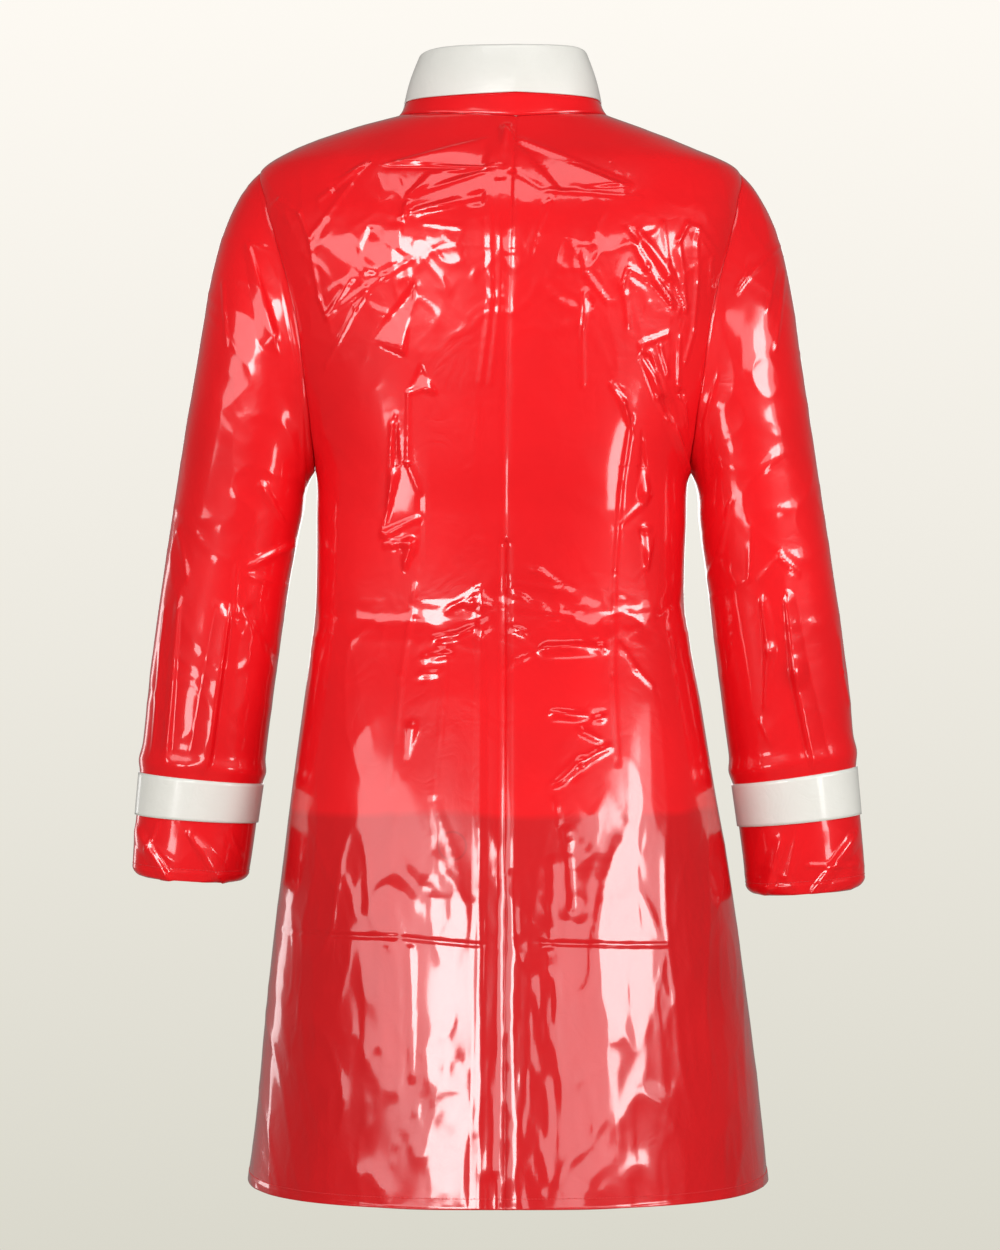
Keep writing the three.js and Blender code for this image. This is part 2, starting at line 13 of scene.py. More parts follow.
import bpy
import numpy as np
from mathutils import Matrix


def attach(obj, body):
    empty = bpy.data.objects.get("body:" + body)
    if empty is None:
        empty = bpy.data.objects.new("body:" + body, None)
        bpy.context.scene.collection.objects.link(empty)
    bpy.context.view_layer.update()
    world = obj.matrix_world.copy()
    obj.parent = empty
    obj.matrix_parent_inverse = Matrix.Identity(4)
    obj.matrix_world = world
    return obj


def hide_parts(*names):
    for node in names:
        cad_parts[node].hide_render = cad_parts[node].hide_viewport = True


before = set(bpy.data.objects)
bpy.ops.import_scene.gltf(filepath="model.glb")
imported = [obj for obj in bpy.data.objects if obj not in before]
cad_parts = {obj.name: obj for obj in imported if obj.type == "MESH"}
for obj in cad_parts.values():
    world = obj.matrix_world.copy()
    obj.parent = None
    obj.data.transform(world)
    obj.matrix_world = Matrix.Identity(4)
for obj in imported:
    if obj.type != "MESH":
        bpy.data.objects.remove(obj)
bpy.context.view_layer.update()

LOG = logging.getLogger("raincoat")
Array = np.ndarray
Tree, Node, Socket = bpy.types.NodeTree, bpy.types.Node, bpy.types.NodeSocket
Material, Piece = bpy.types.Material, bpy.types.Object
MM = 0.001
QUARTER = math.pi / 2
FILM = 1.2  # the thickness of the modelled red film
WHITE_FILM = 1.1
SEAM_GAP = 0.3


class Face(Enum):
    """Which half of the torso a panel covers, as its direction from the side seams."""

    BACK = -1
    FRONT = 1


class Side(Enum):
    """The wearer's left or right, as its direction along X."""

    LEFT = -1
    RIGHT = 1


class NamedTable:
    """A short table of numbers with named columns, read smoothly along its key column."""

    def __init__(self, columns: str, rows: Sequence[Sequence[float]]) -> None:
        """Keeps each column as an array.

        Args:
            columns: the columns' names, in order, with spaces between them; the first is the key.
            rows: one row of numbers for each station, with the key rising.
        """
        names = columns.split()
        self.key = names[0]
        self.columns = dict(zip(names, np.array(rows, float).T))

    def read(self, column: str, at: Array | float) -> Array:
        """Reads a column by a cubic whose slope at each row is that between its neighbours.

        Args:
            column: the column's name.
            at: places along the key column.

        Returns:
            The column's values there, held at the ends.
        """
        key, value = self.columns[self.key], self.columns[column]
        rows = np.arange(len(key))
        before, after = np.maximum(rows - 1, 0), np.minimum(rows + 1, len(key) - 1)
        slope = (value[after] - value[before]) / (key[after] - key[before])
        place = np.clip(np.asarray(at, float), key[0], key[-1])
        i = np.clip(np.searchsorted(key, place, side="right") - 1, 0, len(key) - 2)
        span = key[i + 1] - key[i]
        t = (place - key[i]) / span
        return (
            (1 + 2 * t) * (1 - t) ** 2 * value[i]
            + t * (1 - t) ** 2 * slope[i] * span
            + t**2 * (3 - 2 * t) * value[i + 1]
            + t**2 * (t - 1) * slope[i + 1] * span
        )


def ease(value: Array) -> Array:
    """Smooth step from 0 to 1: three squares less two cubes of the clipped value."""
    v = np.clip(value, 0, 1)
    return v * v * (3 - 2 * v)


def signed_power(value: Array, power: Array | float) -> Array:
    """The power of a value's size, with the value's sign."""
    return np.sign(value) * np.abs(value) ** power


def unit(vectors: Array) -> Array:
    """Vectors at length one."""
    return vectors / np.maximum(np.linalg.norm(vectors, axis=-1, keepdims=True), 1e-9)


def bell(value: Array, middle: Array | float, reach: float) -> Array:
    """A smooth bump that is 1 at the middle and 1/e at the reach to either side."""
    return np.exp(-(((value - middle) / reach) ** 2))


def value_noise(u: Array, v: Array, seed: int) -> Array:
    """Smooth noise between 0 and 1: random numbers on a square lattice, eased between its corners.

    Args:
        u: places along the first way, in lattice steps.
        v: places along the second way.
        seed: picks the lattice's numbers, so that every run gives the same.

    Returns:
        The noise at each place.
    """
    side = 128
    lattice = np.random.default_rng(seed).random((side, side))
    i, j = np.floor(u).astype(int), np.floor(v).astype(int)
    a, b = ease(u - i), ease(v - j)
    near, far = i % side, (i + 1) % side
    low, high = (lattice[near, k % side] * (1 - a) + lattice[far, k % side] * a for k in (j, j + 1))
    return low * (1 - b) + high * b


def crumple(u: Array, v: Array, size: float, seed: int) -> Array:
    """The small sharp creases of handled film: ridges where warped smooth noise crosses its middle.

    Args:
        u: places across the cloth in millimetres.
        v: places along the cloth in millimetres.
        size: the typical distance between creases in millimetres.
        seed: picks the pattern.

    Returns:
        Heights from 0 between creases to 1 on a crease.
    """
    warp = size * (value_noise(u / size / 1.7, v / size / 1.7, seed + 1) - 0.5)
    a = value_noise((u + warp) / size, (v - warp) / (size * 1.3), seed)
    b = value_noise((u - v) / (size * 1.6), (u + v + warp) / (size * 1.1), seed + 2)
    first, second = (np.maximum(1 - np.abs(2 * n - 1) * k, 0) ** 2 for n, k in ((a, 2.2), (b, 2.6)))
    return first + 0.7 * second


@dataclass(frozen=True)
class Creases:
    """The folds that lie on one piece, seen from behind, each along the lines between its points.

    An even row has the slope of its flanks, then x, z and the width at each point. A leaning row has
    the slope of its wider flank, how much of the width lies on its left going along (or below, going
    to the right), and then the points.
    """

    even: Sequence[Sequence[float]] = ()
    leaning: Sequence[Sequence[float]] = ()
    least: float = 2.0

    def lift(self, x: Array, z: Array) -> Array:
        """How far the folds raise the cloth.

        Each is a tent: two flat flanks that fall from its line to nothing, so that each flank shines
        as one facet.

        Args:
            x: places across the coat in millimetres.
            z: heights in millimetres.

        Returns:
            The lift in millimetres at each place.
        """
        total = np.zeros_like(x)
        for slope, share, *places in [(slope, 0.5, *rest) for slope, *rest in self.even] + [*self.leaning]:
            points = np.reshape(places, (-1, 3))
            for (x1, z1, width1), (x2, z2, width2) in zip(points, points[1:]):
                dx, dz = x2 - x1, z2 - z1
                length = math.hypot(dx, dz)
                t = np.clip(((x - x1) * dx + (z - z1) * dz) / length**2, 0, 1)
                across = ((z - z1) * dx - (x - x1) * dz) / length
                width = width1 + (width2 - width1) * t
                flank = np.maximum(width * np.where(across < 0, share, 1 - share), self.least)
                off = np.hypot(x - x1 - t * dx, z - z1 - t * dz) / flank
                tent = np.maximum(1 - np.sqrt(off**2 + 0.004), 0)
                total += slope * width * max(share, 1 - share) * tent
        return total


BACK_CREASES = Creases(
    even=[
        # the yoke
        (-0.35, -94, -54, 5, -14, -57, 5), (0.3, -76, -79, 6.5, -16, -60, 5),
        (0.25, -70, -93, 9.5, -17, -79, 8), (0.3, -64, -102, 5, -35, -106, 5),
        (0.35, -116, -53, 4, -150, -79, 6.5), (0.35, -124, -68, 4, -157, -110, 7.5),
        (0.3, 13, -30, 6.5, 102, -69, 5), (-0.35, 7, -58, 5, 33, -75, 5), (0.3, 33, -75, 5.5, 111, -80, 4),
        (0.4, 37, -85, 6.5, 20, -122, 3), (0.3, 42, -76, 5, 34, -87, 5), (0.35, 3, -20, 11.5, -3, -68, 4),
        # the left blade, its dart and the left of the waist
        (0.4, -191, -80, 5, -184, -76, 5, -167, -89, 5, -158, -112, 5, -150, -161, 5, -144, -175, 5),
        (0.4, -144, -175, 5.5, -127, -151, 5.5), (0.35, -144, -175, 5, -111, -153, 5, -73, -131, 5),
        (0.35, -108, -155, 5, -120, -169, 5, -146, -216, 4), (0.3, -67, -236, 5, -77, -238, 5),
        (0.35, -77, -238, 5, -78, -294, 5, -68, -319, 5), (-0.3, -68, -319, 5, -68, -380, 4),
        (0.38, -90, -263, 5.5, -93, -327, 5.5), (0.35, -93, -327, 5.5, -99, -349, 5, -89, -361, 5),
        (0.4, -98, -352, 9, -70, -340, 7.5), (0.35, -96, -361, 7.5, -73, -358, 7.5),
        (0.3, -72, -394, 5, -83, -467, 5, -91, -559, 5), (0.25, -47, -450, 4, -49, -495, 4, -56, -564, 4),
        (0.35, -20, -394, 3, -16, -411, 13), (0.35, -9, -415, 4, -17, -429, 14.5),
        (0.35, -47, -415, 5, -22, -398, 5), (0.3, -44, -413, 7.5, -24, -407, 7.5),
        (0.35, -55, -438, 10.5, -27, -430, 7.5), (0.33, -63, -453, 10.5, -44, -451, 8),
        (0.3, -68, -467, 7.5, -52, -464, 5.5), (0.35, -74, -509, 13, -77, -531, 3),
        # the right blade, its dart and the right of the waist
        (0.4, 64, -126, 4, 66, -144, 5, 84, -165, 4), (0.38, 66, -158, 6.5, 63, -185, 5),
        (0.35, 63, -185, 5, 64, -232, 5), (0.36, 110, -108, 6.5, 133, -143, 12),
        (0.38, 99, -106, 5, 116, -137, 7.5), (0.4, 116, -137, 7.5, 138, -167, 4),
        (0.4, 101, -184, 5, 96, -151, 5, 100, -138, 5, 125, -150, 5, 143, -170, 5),
        (0.4, 129, -100, 5, 133, -132, 5, 149, -169, 5), (0.4, 142, -114, 5, 149, -169, 5),
        (0.4, 142, -114, 5, 149, -100, 5, 159, -103, 5, 182, -131, 5), (0.35, 182, -131, 5, 193, -124, 5),
        (0.35, 193, -124, 5.5, 213, -81, 5), (0.35, 158, -108, 5, 170, -127, 5, 169, -162, 5),
        (0.35, 157, -112, 5, 158, -148, 5, 155, -187, 5), (0.4, 155, -187, 5, 148, -212, 5),
        (0.35, 182, -132, 5, 181, -152, 5, 165, -203, 5), (0.4, 110, -199, 5.5, 133, -190, 5.5),
        (0.4, 112, -203, 6.5, 126, -240, 7.5, 134, -258, 7.5), (0.38, 134, -258, 8, 156, -305, 6.5),
        (0.4, 119, -205, 5, 137, -242, 5), (0.4, 127, -199, 5, 134, -222, 5),
        (0.38, 143, -192, 5, 143, -233, 5.5, 148, -262, 5.5), (0.38, 88, -231, 7.5, 97, -246, 7.5),
        (0.38, 97, -246, 6.5, 102, -264, 4),
        (-0.3, 104, -257, 5, 96, -313, 5, 91, -383, 5, 89, -467, 5, 92, -537, 5),
        (0.4, 113, -276, 3, 115, -324, 8), (0.4, 115, -324, 7.5, 94, -345, 4),
        (0.35, 117, -349, 13, 117, -378, 7.5), (0.38, 23, -381, 5, 36, -387, 5),
        (0.35, 36, -387, 5, 51, -392, 4), (0.3, 8, -392, 5, 46, -398, 4), (0.35, 8, -401, 6.5, 34, -414, 4),
        (0.3, 13, -417, 5, 46, -421, 4), (0.4, 8, -428, 5.5, 34, -445, 7.5),
        (0.35, 8, -455, 5.5, 34, -446, 5), (0.35, 40, -498, 10.5, 79, -501, 8),
        (0.35, 64, -511, 9, 84, -523, 4), (0.35, 84, -525, 7.5, 62, -536, 9.5),
        (0.35, 62, -536, 11.5, 41, -553, 7.5), (0.38, 40, -566, 4, 51, -600, 6.5),
        (0.3, 94, -442, 6.5, 108, -462, 6.5, 122, -476, 5.5), (0.35, 139, -439, 5, 141, -454, 4),
        # the skirt
        (-0.35, -180, -676, 5, -83, -674, 5), (0.3, -83, -674, 4.5, -19, -679, 4.5),
        (0.3, 26, -677, 4.5, 130, -682, 4.5), (0.35, -74, -682, 5, -72, -781, 5),
        (0.35, 39, -612, 5, 37, -674, 5), (0.35, 51, -589, 6.5, 55, -651, 6.5),
        (0.35, 35, -683, 5.5, 33, -755, 5), (0.25, -11, -768, 6.5, -11, -851, 14.5),
        (0.3, 6, -624, 6.5, 7, -667, 6.5), (0.3, 3, -716, 6.5, 3, -770, 5.5),
        (0.05, -87, -646, 40.5, -102, -865, 48.5), (0.05, 77, -630, 40.5, 84, -864, 48.5),
        # the seam's allowance, left of the centre
        (0.35, -11, -57, 5, -10, -163, 5), (0.35, -3, -67, 5, -3, -163, 5),
        (0.3, -10, -163, 5, -19, -231, 5), (0.3, -3, -163, 5, -11, -231, 5),
        (0.35, -19, -397, 7, -19, -880, 8),
        # the recess along the centre
        (-0.5, 2, -360, 8, 1.5, -885, 9),
    ],
    leaning=[
        (0.35, 0.8, -77, -85, 3, -79, -95, 9.5), (0.35, 0.7, -75, -363, 14.5, -80, -380, 3),
        (0.4, 0.6, 34, -445, 14.5, 79, -444, 11.5),
    ],
)
LEFT_SLEEVE_CREASES = Creases(
    even=[
        (0.4, -183, -137, 5, -164, -240, 5), (0.38, -171, -158, 5, -160, -282, 5),
        (0.35, -200, -75, 5, -185, -102, 5), (0.35, -209, -110, 5, -184, -121, 5),
        (0.35, -232, -143, 5.5, -228, -196, 4), (0.35, -166, -240, 5, -167, -323, 5),
        (0.35, -199, -312, 11.5, -182, -341, 4), (0.35, -271, -346, 5, -262, -387, 5),
        (0.4, -214, -385, 5, -178, -394, 5), (0.35, -221, -378, 5.5, -223, -424, 5),
        (0.35, -283, -414, 5.5, -294, -533, 5), (-0.3, -209, -414, 13, -187, -460, 11.5),
        (0.35, -239, -409, 5, -212, -419, 5), (0.35, -275, -583, 7.5, -257, -610, 3),
        (0.35, -289, -592, 6.5, -299, -615, 5), (0.35, -230, -597, 6.5, -221, -620, 5),
    ],
    leaning=[
        (0.33, 0.75, -209, -115, 8, -188, -189, 19), (0.36, 0.6, -212, -378, 6, -169, -355, 12),
        (0.33, 0.8, -228, -420, 15, -246, -540, 20), (0.3, 0.7, -269, -409, 8, -280, -537, 10),
        (0.3, 0.7, -306, -598, 16, -278, -640, 10), (0.3, 0.3, -262, -600, 12, -240, -636, 16),
    ],
)
RIGHT_SLEEVE_CREASES = Creases(
    even=[
        (0.38, 233, -107, 5.5, 192, -149, 5.5), (0.3, 203, -131, 5, 193, -151, 5),
        (0.3, 225, -131, 5, 217, -167, 5), (0.3, 234, -131, 5, 224, -199, 5),
        (0.38, 175, -223, 5, 166, -259, 5, 169, -305, 5), (0.38, 187, -324, 5, 180, -365, 5),
        (0.4, 180, -365, 5, 169, -388, 5), (0.3, 205, -342, 5.5, 203, -388, 5),
        (0.35, 203, -388, 5, 171, -404, 5), (0.33, 212, -388, 6.5, 228, -370, 8, 244, -383, 5),
        (0.35, 214, -507, 5.5, 223, -525, 5.5), (0.35, 281, -438, 5.5, 283, -466, 5.5, 290, -494, 5),
        (0.35, 198, -594, 5, 203, -645, 5), (0.35, 246, -594, 5.5, 237, -636, 5),
        (0.35, 255, -627, 7.5, 297, -628, 6.5),
    ],
    leaning=[
        (0.32, 0.3, 214, -406, 9, 219, -447, 12, 217, -494, 6),
        (0.32, 0.2, 233, -406, 12, 240, -466, 18, 258, -548, 20), (0.3, 0.3, 292, -604, 16, 258, -648, 10),
        (0.3, 0.7, 232, -606, 10, 222, -646, 15),
    ],
)


@dataclass(frozen=True)
class TorsoForm:
    """The coat's body: level sections, each a superellipse with its own depth behind and before."""

    sections: NamedTable = field(
        default_factory=lambda: NamedTable(
            "height half_width back front lean seam power",
            [
                (-887, 217, 205, 165, 3.6, 0.8, 2.15),
                (-825, 210, 190, 159, 4.2, 0.9, 2.15),
                (-758, 203, 174, 151, 3.4, 1, 2.15),
                (-690, 195, 158, 142, 2.1, 1.1, 2.15),
                (-623, 186, 142, 131, 1.3, 1.3, 2.15),
                (-556, 176, 125.5, 120, -0.4, 1.5, 2.2),
                (-489, 166, 107.5, 110, -1.3, 1.6, 2.25),
                (-438, 158, 92, 104, -2.5, 1.7, 2.3),
                (-405, 154.5, 86, 103, -2.9, 1.7, 2.3),
                (-338, 155, 90, 110, -1.7, 1.8, 2.3),
                (-296, 157, 97, 118, -1, 2, 2.3),
                (-262, 170, 101, 122, -1, 2.3, 2.25),
                (-215, 188, 106, 122, -1, 3, 2.2),
                (-171, 197, 110, 113, -1.5, 4, 2.2),
                (-120, 203, 113.5, 98, -2, 5.5, 2.25),
                (-100, 205, 112, 91, -2.2, 6.2, 2.25),
                (-80, 206, 107, 83, -2.5, 7, 2.25),
                (-46, 200, 91, 70, -3.4, 8.5, 2.2),
                (-27, 165, 76, 61, -8, 9.5, 2.2),
                (-10, 120, 62, 52, -6, 10, 2.15),
                (0, 88, 53, 46, -0.5, 10, 2.1),
                (8, 70, 44, 40, 0, 10, 2.1),
            ],
        )
    )
    neck_drop: dict[Face, float] = field(default_factory=lambda: {Face.BACK: 8.0, Face.FRONT: 60.0})
    hem_rise: dict[Face, float] = field(default_factory=lambda: {Face.BACK: 8.0, Face.FRONT: 0.0})
    armhole_depth: dict[Face, float] = field(default_factory=lambda: {Face.BACK: 60.0, Face.FRONT: 58.0})
    underarm: float = -296.0
    shoulder_tip: float = -46.0

    def point(self, angle: Array, height: Array) -> Array:
        """A point of the bare form.

        x is the half width times a power of the angle's cosine, plus the section's lean, and y is the
        depth times the same power of its sine.

        Args:
            angle: the turn from the wearer's right, a quarter at centre front.
            height: the height in millimetres.

        Returns:
            Points with a last axis of x, y and z.
        """
        power = 2 / self.sections.read("power", height)
        cosine, sine = np.cos(angle), np.sin(angle)
        depth = np.where(sine > 0, self.sections.read("front", height), self.sections.read("back", height))
        lean = self.sections.read("lean", height) * cosine**2
        lean = lean + self.sections.read("seam", height) * np.maximum(-sine, 0) ** 2
        x = lean + self.sections.read("half_width", height) * signed_power(cosine, power)
        return np.stack([x, depth * signed_power(sine, power), height + 0 * x], axis=-1)

    def normal(self, angle: Array, height: Array) -> Array:
        """The outward direction: the cross product of small steps round the form and up it.

        Args:
            angle: the turn from the wearer's right.
            height: the height in millimetres.

        Returns:
            Directions of length one.
        """
        along = self.point(angle + 0.02, height) - self.point(angle - 0.02, height)
        up = self.point(angle, height + 1) - self.point(angle, height - 1)
        return unit(np.cross(along, up))

    def turn_at_x(self, x: Array | float, height: Array) -> Array:
        """The turn from the centre line at which a section is x millimetres out."""
        share = np.clip(x / self.sections.read("half_width", height), -1, 1)
        return np.arcsin(signed_power(share, self.sections.read("power", height) / 2))

    def x_at_turn(self, turn: Array, height: Array) -> Array:
        """The distance out at a turn from the centre line."""
        power = 2 / self.sections.read("power", height)
        return self.sections.read("half_width", height) * signed_power(np.sin(turn), power)

    def turn_at_depth(self, face: Face, depth: Array, height: Array) -> Array:
        """The turn at which a section is depth millimetres behind or before the side seams.

        Args:
            face: which half of the torso.
            depth: the depth in millimetres.
            height: the height in millimetres.

        Returns:
            The turn from the face's centre line, a quarter at depth 0.
        """
        column = "back" if face is Face.BACK else "front"
        share = np.clip(depth / self.sections.read(column, height), 0, 1)
        return np.arccos(signed_power(share, self.sections.read("power", height) / 2))

    def angle_of(self, face: Face, side: Side, turn: Array) -> Array:
        """The angle round the form of a turn from a face's centre line towards a side."""
        return face.value * (QUARTER - side.value * turn)

    def dip(self, face: Face, height: Array, share: Array) -> Array:
        """How far a row of the cloth dips towards the centre line: down at the neck, up at the hem.

        Args:
            face: which half of the torso.
            height: the row's height at its outer end.
            share: how far out a place lies, 0 on the centre line and 1 at the seam.

        Returns:
            The dip in millimetres, less than 0 where the row rises.
        """
        middle = (self.underarm + self.shoulder_tip) / 2
        strength = ease(1 - height / middle)
        neck = self.neck_drop[face] * strength * (1 - share) * (1 + 0.36 * share)
        return neck - self.hem_rise[face] * ease((-700 - height) / 187) * (1 - share**2)

    def armhole_height(self, around: Array) -> Array:
        """The armhole's height at a turn round it, 0 at the shoulder tip and a half at the underarm."""
        middle = (self.underarm + self.shoulder_tip) / 2
        return middle + (self.shoulder_tip - self.underarm) / 2 * np.cos(around)

    def armhole(self, side: Side, around: Array) -> Array:
        """Points of the armhole's edge at turns round it, positive behind the shoulder.

        Args:
            side: which armhole.
            around: the turns, 0 at the shoulder tip.

        Returns:
            Points with a last axis of x, y and z.
        """
        height = self.armhole_height(around)
        edge = []
        for face in Face:
            depth = np.maximum(self.armhole_depth[face] * np.abs(np.sin(around)), SEAM_GAP / 2)
            turn = self.turn_at_depth(face, depth, height)
            edge.append(self.point(self.angle_of(face, side, turn), height))
        return np.where((np.sin(around) >= 0)[..., None], edge[0], edge[1])


TORSO = TorsoForm()


@dataclass(frozen=True)
class Softbox:
    """A soft box that faces the middle of the coat: degrees to the right and up, metres and watts."""

    name: str
    azimuth: float
    elevation: float
    distance: float
    width: float
    height: float
    power: float
    aim: tuple[float, float, float] = (-0.003, -0.10, -0.43)

    def place(self) -> Array:
        """Its middle, in metres: the distance off from the middle of the coat, at its two angles.

        Returns:
            x, y and z.
        """
        a, e = math.radians(self.azimuth), math.radians(self.elevation)
        along = np.array([math.sin(a) * math.cos(e), -math.cos(a) * math.cos(e), math.sin(e)])
        return np.array(self.aim) + self.distance * along

    def build(self) -> None:
        """Adds the light."""
        data = bpy.data.lights.new(self.name, "AREA")
        data.shape = "RECTANGLE"
        data.size, data.size_y, data.energy = self.width, self.height, self.power
        light = bpy.data.objects.new(self.name, data)
        light.location = self.place()
        light.rotation_euler = (QUARTER - math.radians(self.elevation), 0, math.radians(self.azimuth))
        light.visible_camera = False
        bpy.context.scene.collection.objects.link(light)


EYE = np.array([-0.003, -2.6, -0.426])
MAIN_BOXES = {
    -1: Softbox("left_softbox", -38, 12, 2.6, 2.7, 0.6, 18),
    0: Softbox("top_softbox", 0, 58, 2.6, 2.0, 0.65, 11),
    1: Softbox("right_softbox", 41, 12, 2.6, 2.6, 0.6, 17),
}
EXTRA_BOXES = (
    Softbox("left_core", -19, 12, 2.5, 0.7, 0.58, 18),
    Softbox("right_core", 50, 11, 2.5, 1.0, 0.52, 18),
    Softbox("left_low_box", -38, -11, 2.6, 0.5, 0.32, 4.5),
    Softbox("right_low_box", 44, -11, 2.6, 0.35, 0.32, 3.5),
    Softbox("left_edge_strip", -132, -3, 2.4, 0.4, 0.9, 3),
    Softbox("front_softbox", 180, 8, 2.6, 1.6, 0.8, 8),
)


@dataclass(frozen=True)
class Facets:
    """Small flat areas between creases, each turned so that it throws one main soft box back to the camera.

    Under each soft box's key, a row has a facet's three corners, x and z of each.
    """

    rows: dict[int, Sequence[Sequence[float]]] = field(default_factory=dict)
    rim: float = 2.5
    reach: float = 3.0
    steepest: float = 0.3

    def lift(self, bare: Array, outward: Array) -> Array:
        """How far the facets raise the cloth.

        Each is a plane through the middle of its corners, square to the line halfway between the camera
        and its soft box. It levels off at its reach from the bare form and falls back across its rim.

        Args:
            bare: the bare form's points in millimetres.
            outward: its outward directions.

        Returns:
            The lift in millimetres at each point.
        """
        x, z = bare[..., 0], bare[..., 2]
        total = np.zeros_like(x)
        for side, corners in [(side, row) for side, rows in self.rows.items() for row in rows]:
            corner = np.array(corners, float).reshape(3, 2)
            middle = corner.mean(axis=0)
            near = np.argmin((x - middle[0]) ** 2 + (z - middle[1]) ** 2 + 1e6 * (outward[..., 1] > 0))
            here, normal = bare.reshape(-1, 3)[near] * MM, outward.reshape(-1, 3)[near]
            half = unit(unit(MAIN_BOXES[side].place() - here) + unit(EYE - here))
            tilt = half / half[1] - normal / normal[1]
            right, _, up = np.clip(tilt, -self.steepest, self.steepest)
            inside = np.full_like(x, 1e3)
            for start, end in zip(corner, np.roll(corner, -1, axis=0)):
                (dx, dz), (px, pz) = end - start, start
                inside = np.minimum(inside, (dx * (z - pz) - dz * (x - px)) / math.hypot(dx, dz))
            mask = np.clip(inside / self.rim + 0.5, 0, 1)
            plane = right * (x - middle[0]) + up * (z - middle[1])
            total += mask * self.reach * np.tanh(plane / self.reach)
        return total


BACK_FACETS = Facets(
    {
        -1: [
            (-109, -105, -82, -133, -82, -103), (-109, -105, -125, -146, -82, -133),
            (-72, -151, -108, -195, -80, -207), (-67, -217, -76, -235, -55, -238),
            (-77, -84, -86, -95, -76, -94), (-112, -50, -142, -66, -138, -74),
            (-124, -66, -148, -97, -157, -112), (-129, -150, -115, -143, -120, -138),
            (-88, -263, -94, -331, -85, -300), (-98, -355, -70, -349, -70, -340),
            (-86, -362, -80, -381, -73, -362), (-21, -394, -19, -408, -9, -411),
            (-17, -415, -19, -430, -8, -429), (-44, -414, -23, -412, -23, -405),
            (-57, -440, -47, -445, -26, -428), (-65, -449, -61, -456, -43, -450),
            (-69, -464, -66, -472, -53, -466),
        ],
        1: [
            (110, -107, 134, -143, 124, -104), (98, -104, 138, -168, 107, -109),
            (64, -125, 68, -142, 85, -165), (65, -156, 64, -187, 72, -166),
            (113, -275, 110, -321, 120, -322), (116, -320, 93, -345, 118, -327),
            (111, -348, 118, -378, 125, -349), (111, -205, 131, -244, 119, -208),
            (124, -237, 158, -306, 134, -241), (88, -230, 103, -264, 96, -236),
            (141, -233, 151, -262, 148, -235), (22, -380, 52, -393, 33, -381),
            (8, -400, 35, -415, 18, -402), (7, -428, 36, -446, 18, -430), (34, -445, 80, -448, 78, -437),
            (8, -458, 34, -446, 21, -450), (39, -496, 66, -505, 80, -497), (62, -511, 78, -525, 84, -521),
            (85, -525, 75, -525, 58, -547), (66, -532, 40, -554, 57, -550), (40, -566, 51, -600, 45, -571),
            (94, -442, 123, -478, 105, -453),
        ],
        0: [
            (-93, -51, -14, -54, -13, -29), (-76, -77, -16, -57, -60, -60), (10, -32, 46, -75, 98, -70),
            (-73, -92, -18, -88, -16, -76), (-1, -18, -3, -66, 8, -25),
        ],
    }
)


def make_mesh(name: str, grid: Array, closed: bool = False) -> Piece:
    """Makes a mesh object from a grid of points, with smooth faces.

    Args:
        name: the piece's name.
        grid: rows by columns by 3 in millimetres, columns to the right and rows up from outside.
        closed: whether the last column joins the first.

    Returns:
        The object, at the origin, linked to the scene.
    """
    rows, columns = grid.shape[:2]
    index = np.arange(rows * columns).reshape(rows, columns)
    right = np.roll(index, -1, axis=1) if closed else index[:, 1:]
    left = index if closed else index[:, :-1]
    quads = np.stack([left[:-1], right[:-1], right[1:], left[1:]], axis=-1)
    return mesh_object(name, grid.reshape(-1, 3) * MM, quads.reshape(-1, 4))


def mesh_object(name: str, points: Array, faces: Array) -> Piece:
    """Makes a smooth-shaded mesh object from points in metres and four-sided faces.

    Args:
        name: the piece's name.
        points: one row of x, y and z for each point.
        faces: four point numbers for each face.

    Returns:
        The object, linked to the scene.
    """
    mesh = bpy.data.meshes.new(name)
    mesh.vertices.add(len(points))
    mesh.vertices.foreach_set("co", points.astype(np.float32).ravel())
    mesh.loops.add(faces.size)
    mesh.loops.foreach_set("vertex_index", faces.astype(np.int32).ravel())
    mesh.polygons.add(len(faces))
    mesh.polygons.foreach_set("loop_start", np.arange(0, faces.size, 4, dtype=np.int32))
    mesh.update(calc_edges=True)
    mesh.validate()
    mesh.polygons.foreach_set("use_smooth", np.ones(len(mesh.polygons), bool))
    piece = bpy.data.objects.new(name, mesh)
    bpy.context.scene.collection.objects.link(piece)
    return piece


@dataclass(frozen=True)
class Cut:
    """What a cloth piece was cut to, in metres: widest, longest and flat area; and what it hangs from."""

    width: float
    length: float
    area: float
    held: str = "stretched"
    rests_on: tuple[str, ...] = ()


